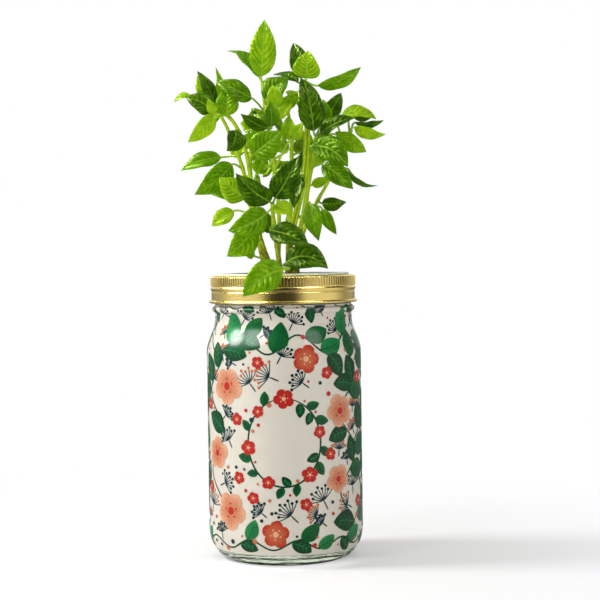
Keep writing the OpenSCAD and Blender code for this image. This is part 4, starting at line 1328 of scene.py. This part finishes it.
@dataclass
class Herb:
    """The herb: its stems and leaves, laid out as the camera sees them."""

    rim_z: float = 180.5 * MM
    height: float = 159 * MM
    reach: float = 64 * MM
    stem_r: float = 3 * MM
    stem_sides: int = 20
    stalk_r: float = 0.75 * MM
    stalk_sides: int = 8
    girths: tuple[float, ...] = (0.66, 0.6, 0.7, 0.55, 1, 0.74, 0.54, 0.66, 0.62)
    fold: float = math.tan(math.radians(23))
    teeth: float = 13.0
    thickness: float = 0.34 * MM
    groove: float = 0.25 * MM
    stations: int = 74
    lanes: int = 19
    look: WaxyLeaf = WaxyLeaf()

    def seen(self, place: Place) -> Array:
        """The real place of a point that is given in shares, as the eye sees it."""
        flat = np.array([place[0] * self.reach, 0, self.rim_z + place[1] * self.height])
        return EYE + (flat - EYE) * (place[2] * self.reach - EYE[1]) / -EYE[1]

    def stem_point(self, i: int, u: float) -> Array:
        """The middle of stem i at point u of its route."""
        return self.seen(curve_point(np.array(STEM_ROUTES[i]), u))

    def stem_radius(self, i: int, u: float) -> float:
        """The radius of stem i at point u of its route."""
        v = u / (len(STEM_ROUTES[i]) - 1)
        return self.girths[i] * self.stem_r * (1 - v + v * 0.6)

    def leaves_of(self, i: int) -> list[Leaf]:
        """The leaves of stem i."""
        return [Leaf(row[0], row[1:4], row[4:7], *row[7:]) for row in LEAF_ROWS[i]]

    def stem(self, i: int, material: Any) -> Any:
        """Makes stem i, a ribbed tube that is thicker where its leaves leave it.

        Args:
            i: The stem's place in the tables.
            material: Its material.

        Returns:
            The piece. The thickest stem is a pair that grows side by side.
        """
        last = len(STEM_ROUTES[i]) - 1
        places = np.linspace(0, last, last * 14 + 1)
        line = np.array([self.stem_point(i, u) for u in places])
        knots = np.array([leaf.at for leaf in self.leaves_of(i)])
        radii = []
        for u in places:
            swell = 0.16 * np.exp(-((knots - u) / 0.1) ** 2).max()
            end = min(1.0, math.sqrt(max(0.0, (last - u) / 0.08)) * 0.8 + 0.2)
            radii.append(self.stem_radius(i, u) * (0.84 + swell) * end)
        radii, stock = np.array(radii), Stock()
        along = np.repeat((line[:, 2] - self.rim_z) / self.height, self.stem_sides)
        strands = ((0.0, 1.0),) if self.girths[i] < 0.9 else ((-0.52, 0.5), (0.5, 0.54))
        for aside, share in strands:
            shift = np.outer(radii * aside, [1, 0.25, 0])
            points, faces, rib = tube(line + shift, radii * share, self.stem_sides, 4, 0.12)
            stock.add(points, faces, rib=rib, along=along)
        return stock.piece(f"herb_stem_{i + 1}", material)

    def relief(self, blade: Blade, u: Array, v: Array, half: Array) -> tuple[Array, Array]:
        """How a blade rises off its middle plane: fold, quilting, wavy edges and midrib.

        Args:
            blade: The blade's lie.
            u: Shares of its length.
            v: Places across it, from -1 to 1.
            half: Half its width there.

        Returns:
            The rise, and the places on the ladder of side veins.
        """
        t = np.abs(v)
        ladder = (u - self.look.slant * t ** self.look.bend) * self.look.veins + blade.seed * 3
        ladder = ladder + 0.3 * (v > 0)
        ladder = ladder + 0.22 * np.sin(math.tau * 1.7 * u + blade.phase[3]) * t ** 0.5
        near = np.abs(ladder % 1 - 0.5) * 2
        bulge = (1 - near ** 2.6) * 4 * (t * (1 - t)) ** 0.75 * np.clip(u * 6, 0, 1)
        wave = np.sin(math.tau * 1.9 * u + blade.phase[0] + blade.phase[1] * (v > 0))
        rise = half * (self.fold * (np.sqrt(t ** 2 + 0.01) - 0.1) - blade.droop * t ** 2.2 * 0.6)
        rise = rise + half * 0.13 * bulge
        rise = rise + half * 0.08 * t ** 3 * wave
        rise = rise + half * 0.02 * np.sin(11 * u + blade.phase[2]) * np.sin(7 * v + blade.phase[3])
        return rise - self.groove * np.exp(-(t / 0.07) ** 2) * np.clip(4 * (1 - u), 0, 1), ladder

    def blade_faces(self) -> Faces:
        """The faces of a blade, whose upper points come before its lower ones.

        Returns:
            Both sides, the long edges and the ends.
        """
        n, m = self.stations, self.lanes
        faces = []
        for k in range(n - 1):
            for a in range(k * m, (k + 1) * m - 1):
                b = a + n * m
                faces += [(a, a + m, a + m + 1, a + 1), (b + 1, b + m + 1, b + m, b)]
            for a, way in ((k * m, 1), (k * m + m - 1, -1)):
                faces.append((a, a + n * m, a + n * m + m, a + m)[::way])
        for j in range(m - 1):
            a = (n - 1) * m + j
            faces += [(j, j + 1, j + 1 + n * m, j + n * m), (a, a + n * m, a + n * m + 1, a + 1)]
        return faces

    def blade(self, leaf: Leaf, blade: Blade, stock: Stock) -> None:
        """Adds a leaf's blade: a thin quilted body with toothed edges.

        Args:
            leaf: The leaf.
            blade: Its blade's lie.
            stock: The mesh that it joins.
        """
        share = np.linspace(0, 1, self.stations)
        share = 0.75 * share + 0.25 * (0.5 - 0.5 * np.cos(math.pi * share))
        lane = np.linspace(-1, 1, self.lanes)
        lane = np.sign(lane) * np.abs(lane) ** 1.1
        u, v = np.meshgrid(share, lane, indexing="ij")
        t = np.abs(v)
        half = leaf.width * self.reach / 2 * 3 * u ** 0.64 * (1 - u) ** 1.02
        saw = (u * self.teeth + blade.seed) % 1
        half = np.maximum(half * (1 + 0.035 * (saw - 0.5) * t ** 6), 0.15 * MM)
        rise, ladder = self.relief(blade, u, v, half)
        middle, up, across = (rows[:, None] for rows in blade.lie(share))
        surface = middle + across * (v * half)[..., None] + up * rise[..., None]
        thick = (self.thickness / 2 * (1 - 0.6 * t ** 4))[..., None] * up
        points = np.stack([surface + thick, surface - thick]).reshape(-1, 3)
        spot = np.stack([ladder.ravel(), v.ravel(), np.zeros(u.size)], axis=1)
        stock.add(points, self.blade_faces(), blade=np.concatenate([spot, spot]),
                  tone=np.full(len(points), leaf.tone), under=np.repeat((0.0, 1.0), u.size))

    def stalk(self, i: int, leaf: Leaf, blade: Blade, stock: Stock) -> None:
        """Adds a leaf's stalk, which runs on under the blade as its midrib.

        Args:
            i: The stem's place in the tables.
            leaf: The leaf.
            blade: Its blade's lie.
            stock: The mesh that it joins.
        """
        inside = self.stem_point(i, leaf.at)
        away = blade.foot - inside
        length = float(np.linalg.norm(away))
        root = inside + away / length * min(self.stem_radius(i, leaf.at) * 0.6, length / 2)
        start = unit(blade.axis + blade.bow)
        bend = blade.foot - start * np.linalg.norm(blade.foot - root) * 0.35
        free = np.linspace(0, 1, 14)[:-1]
        line = [root * (1 - v) ** 2 + 2 * bend * v * (1 - v) + blade.foot * v * v for v in free]
        radii = [self.stalk_r * (1.25 - 0.4 * min(1, v * 3)) for v in free]
        for u in np.linspace(0.0, 0.86, 22):
            middle, up, _ = blade.lie(u)
            radii.append(self.stalk_r * (0.78 * (1 - u) + 0.08))
            line.append(middle - up * (self.groove + radii[-1] * 0.25))
        points, faces, _ = tube(np.array(line), np.array(radii), self.stalk_sides)
        under = np.where(np.arange(len(line)) < len(free), 0.0, 0.8)
        stock.add(points, faces, blade=np.tile((0.5, 0.0, 0.0), (len(points), 1)),
                  tone=np.full(len(points), leaf.tone), under=np.repeat(under, self.stalk_sides))

    def leaves(self, i: int, material: Any) -> Any:
        """Makes the leaves of stem i.

        Args:
            i: The stem's place in the tables.
            material: Their material.

        Returns:
            The piece.
        """
        stock = Stock()
        for k, leaf in enumerate(self.leaves_of(i)):
            rng = np.random.default_rng(100 * i + k + 5)
            blade = Blade(leaf, self.seen(leaf.foot), self.seen(leaf.tip), rng)
            self.blade(leaf, blade, stock)
            self.stalk(i, leaf, blade, stock)
        return stock.piece(f"herb_leaves_{i + 1}", material)

    def build(self) -> None:
        """Makes all stems and leaves."""
        wax, flesh = self.look.material(), FleshyStem().material()
        for i in range(len(STEM_ROUTES)):
            settle(self.stem(i, flesh), "cup", "stem", f"stem_{i + 1}")
            settle(self.leaves(i, wax), "cup", "leaf", f"leaves_{i + 1}")


@dataclass
class GrowingMedium:
    """The plug of crumbs that the herb is rooted in."""

    low_z: float = 125.8 * MM
    top_z: float = 174.5 * MM
    low_r: float = 26.3 * MM
    top_r: float = 33.6 * MM
    crown: float = 1.4 * MM
    lump: float = 2.6 * MM
    sides: int = 96
    crumbs: int = 260
    seed: int = 3

    def build(self) -> None:
        """Makes the plug and the loose crumbs on it."""
        stock = Stock()
        rise, widening = self.top_z - self.low_z, self.top_r - self.low_r
        rings = [(self.top_r * q, self.top_z + self.crown * (1 - q ** 2))
                 for q in np.linspace(0.03, 0.985, 26)]
        rings += [(self.low_r + widening * q, self.low_z + rise * q)
                  for q in np.linspace(0.985, 0, 30)]
        rings += [(self.low_r * q, self.low_z) for q in np.linspace(0.93, 0.03, 10)]
        points = []
        for r, z in rings:
            for k in range(self.sides):
                q = k * math.tau / self.sides
                place = Vector((r * math.cos(q), r * math.sin(q), z))
                sink = max(0.0, 0.45 - 0.5 * noise.fractal(place / self.lump, 0.7, 2.0, 4)) * MM
                inward = sink if r > self.top_r * 0.95 or z < self.top_z else 0
                points.append((place.x * (1 - inward / r), place.y * (1 - inward / r),
                               z - (sink if z > self.top_z - MM else 0)))
        stock.add(np.array(points), ring_faces(len(rings), self.sides))
        rng = np.random.default_rng(self.seed)
        for _ in range(self.crumbs):
            q, r = rng.uniform(0, math.tau), self.top_r * 0.93 * math.sqrt(rng.uniform(0, 1))
            size = rng.uniform(0.5, 1.6) * MM
            middle = np.array([r * math.cos(q), r * math.sin(q),
                               self.top_z + self.crown * (1 - (r / self.top_r) ** 2) - size * 0.1])
            stock.add(*self.crumb(middle, size, rng))
        settle(stock.piece("damp_medium", DampPeat().material()), "cup", "medium",
               "growing_medium")

    @staticmethod
    def crumb(middle: Array, size: float, rng: Any) -> tuple[Array, Faces]:
        """One rough crumb.

        Args:
            middle: Its middle.
            size: Its radius.
            rng: The source of its shape.

        Returns:
            Its points and faces.
        """
        rings, sides = 5, 8
        points = []
        for k in range(rings):
            p = math.pi * (k + 0.5) / rings
            for s in range(sides):
                q = math.tau * s / sides
                r = size * rng.uniform(0.7, 1.1)
                points.append(middle + r * np.array([math.sin(p) * math.cos(q),
                                                     math.sin(p) * math.sin(q), 0.7 * math.cos(p)]))
        return np.array(points), ring_faces(rings, sides)


@dataclass
class RootBundle:
    """The roots that hang from the cup's floor, each with its fine side roots."""

    count: int = 8
    ring_r: float = 16.8 * MM
    floor_z: float = 124.3 * MM
    start_z: float = 132.2 * MM
    lowest_z: float = 61 * MM
    length: float = 62 * MM
    radius: float = 1 * MM
    hair_r: float = 0.28 * MM
    wander: float = 3 * MM
    side_roots: int = 16
    seed: int = 9

    def main_line(self, i: int) -> Array:
        """The line of root i.

        Args:
            i: Its number; the last hangs in the middle.

        Returns:
            Its points, from the medium down.
        """
        out = 0.0 if i == self.count else self.ring_r
        reach = self.length * (0.82 + 0.18 * math.cos(math.radians(137 * i)))
        straight = self.start_z - self.floor_z + 2 * self.radius
        line = []
        for v in np.linspace(0, 1, 42):
            drop = v * (reach + straight)
            loose = max(drop - straight, 0) / reach
            r = out * (1 - 0.3 * loose) + self.wander * loose * math.sin(
                math.radians(300 * loose + 80 * i))
            a = math.radians(i * 360 / self.count
                             + 40 * loose * math.sin(math.radians(200 * loose + 50 * i)))
            line.append((r * math.cos(a), r * math.sin(a), self.start_z - drop))
        return np.array(line)

    def hair(self, start: Array, rng: Any) -> tuple[Array, Faces]:
        """One fine side root.

        Args:
            start: Where it leaves its root.
            rng: The source of its direction, length and curl.

        Returns:
            Its points and faces.
        """
        turn, size = rng.uniform(0, math.tau), rng.uniform(6, 15) * MM
        share = np.linspace(0, 1, 14)[:, None]
        way = np.array([math.cos(turn), math.sin(turn), 0])
        curl = np.array([-math.sin(turn), math.cos(turn), 0]) * rng.uniform(-0.5, 0.5)
        line = start + size * (way * 0.55 * share + curl * share ** 2 * 0.6
                               - np.array([0, 0, 1]) * share ** 1.6 * 0.8)
        line[:, 2] = np.maximum(line[:, 2], self.lowest_z)
        return tube(line, self.hair_r * (1 - 0.8 * share[:, 0]), 5)[:2]

    def build(self) -> None:
        """Makes the bundle."""
        stock, rng = Stock(), np.random.default_rng(self.seed)
        for i in range(self.count + 1):
            line = self.main_line(i)
            taper = 1 - 0.75 * np.linspace(0, 1, len(line))
            stock.add(*tube(line, self.radius * taper, 10)[:2])
            for _ in range(self.side_roots):
                stock.add(*self.hair(line[int(rng.integers(10, len(line) - 3))], rng))
        settle(stock.piece("root_bundle", WetRoot().material()), "cup", "root", "roots")


@dataclass(frozen=True)
class Softbox:
    """A bright patch of the surroundings that only mirrors show.

    Its edge and its bright core are cosines of the angle from its middle.
    """

    middle: Place
    edge: float
    core: float
    level: float


@dataclass(frozen=True)
class Lamp:
    """An area lamp that looks at the jar, hidden from mirrors.

    Its level is the light on a white sheet at the jar that faces it, where 1 is white.
    """

    name: str
    place: Place
    size: float
    level: float

    def hang(self, target: Vector) -> None:
        """Puts the lamp into the scene.

        Args:
            target: What it looks at.
        """
        data = bpy.data.lights.new(self.name, "AREA")
        data.shape, data.size, data.size_y = "RECTANGLE", self.size, self.size
        away = Vector(self.place) - target
        data.energy = self.level * math.pi ** 2 * away.length_squared
        lamp = bpy.data.objects.new(self.name, data)
        lamp.visible_glossy = False
        lamp.location = self.place
        lamp.rotation_euler = away.to_track_quat("Z", "Y").to_euler()
        bpy.context.scene.collection.objects.link(lamp)


@dataclass
class Studio:
    """White ground, soft lamps and the photograph's camera."""

    ground: float = 40.0
    even: float = 0.55
    clear: float = 0.95
    lens: float = 99
    sensor: float = 36
    clip: tuple[float, float] = (0.05, 50)
    tilt: float = 88.26
    roll: float = -0.77
    paper: WhiteGround = WhiteGround()
    softboxes: tuple[Softbox, ...] = (Softbox((-0.83, -0.03, 0.56), 0.958, 0.995, 52.0),
                                      Softbox((-0.6, -0.45, 0.66), 0.945, 0.985, 20.0),
                                      Softbox((0.58, -0.42, 0.69), 0.95, 0.985, 8.0))
    lamps: tuple[Lamp, ...] = (Lamp("key", (-1.32, -0.05, 1.24), 0.45, 0.5),
                               Lamp("front_left", (-1.1, -1.2, 0.55), 0.5, 0.15))
    target: Place = (0, 0, 0.17)

    def floor(self) -> None:
        """Lays the white ground."""
        stock = Stock()
        corners = np.array([(-1, -1, 0), (1, -1, 0), (1, 1, 0), (-1, 1, 0)])
        stock.add(corners * self.ground, [(0, 1, 2, 3)])
        stock.piece("white_ground", self.paper.material(), smooth=False)

    def room(self, bench: Bench) -> Value:
        """What mirrors see: bright walls beside and behind, a dark front, and softboxes.

        Args:
            bench: The world's bench.

        Returns:
            The brightness of each direction.
        """
        way = bench.node("ShaderNodeTexCoord", out="Generated")
        aside, depth, high = bench.parts(way)
        wall = depth.step(-0.2, 0.5, 0.86, 0.2).most(depth.step(0.6, 0.95, 0.0, 0.9))
        wall = wall.most(aside.step(-0.5, -0.1, 0.9, 0.0))
        gap = depth.step(-0.93, -0.74, self.paper.front_gloss, 1.0)
        room = wall.least(gap.least(high.step(0.08, 0.22, 1.0, 0.03)))
        room = room.most(high.step(0.8, 0.95, 0.0, 0.7))
        for box in self.softboxes:
            middle = tuple(Vector(box.middle).normalized())
            near = bench.node("ShaderNodeVectorMath", {"operation": "DOT_PRODUCT"},
                              {0: way, 1: middle}, out="Value")
            room = room.most(near.step(box.edge, box.core, 0.0, box.level))
        return room.most(depth.step(0.3, 0.8, 0.0, 0.9))

    def sky(self) -> None:
        """Makes the surroundings: white to the camera, even for light, and a room for mirrors."""
        world = bpy.data.worlds.new("studio")
        bpy.context.scene.world = world
        world.use_nodes = True
        bench = Bench(world.node_tree)
        camera, mirror, glass = bench.rays()
        strength = self.even + mirror * (self.room(bench) - self.even)
        strength = strength.most(glass * self.clear).most(camera)
        bench.close(bench.node("ShaderNodeBackground", None,
                               {"Color": WHITE, "Strength": strength}), "World")

    def camera(self) -> None:
        """Sets up the photograph's camera: a long lens a little over the band's height."""
        data = bpy.data.cameras.new("camera")
        data.lens, data.sensor_width = self.lens, self.sensor
        data.clip_start, data.clip_end = self.clip
        camera = bpy.data.objects.new("camera", data)
        camera.matrix_world = (Matrix.Translation(Vector(EYE))
                               @ Matrix.Rotation(math.radians(self.tilt), 4, "X")
                               @ Matrix.Rotation(math.radians(self.roll), 4, "Z"))
        bpy.context.scene.collection.objects.link(camera)
        bpy.context.scene.camera = camera

    def build(self) -> None:
        """Sets the whole studio up."""
        self.camera()
        self.floor()
        self.sky()
        for lamp in self.lamps:
            lamp.hang(Vector(self.target))
        bpy.context.scene.view_settings.view_transform = "Standard"


def main() -> None:
    """Builds the scene piece by piece."""
    logging.basicConfig(level=logging.INFO, format="%(name)s: %(message)s")
    Studio().build()
    for node, finish in (("glass_jar", GreenGlass()), ("screw_band", GoldLacquer()),
                         ("seal_ring", SoftSeal()), ("net_cup", CupPlastic())):
        dress(node, finish)
    for part in (PrintedSkin(), GrowingMedium(), RootBundle(), Herb()):
        part.build()


if __name__ == "__main__":
    main()
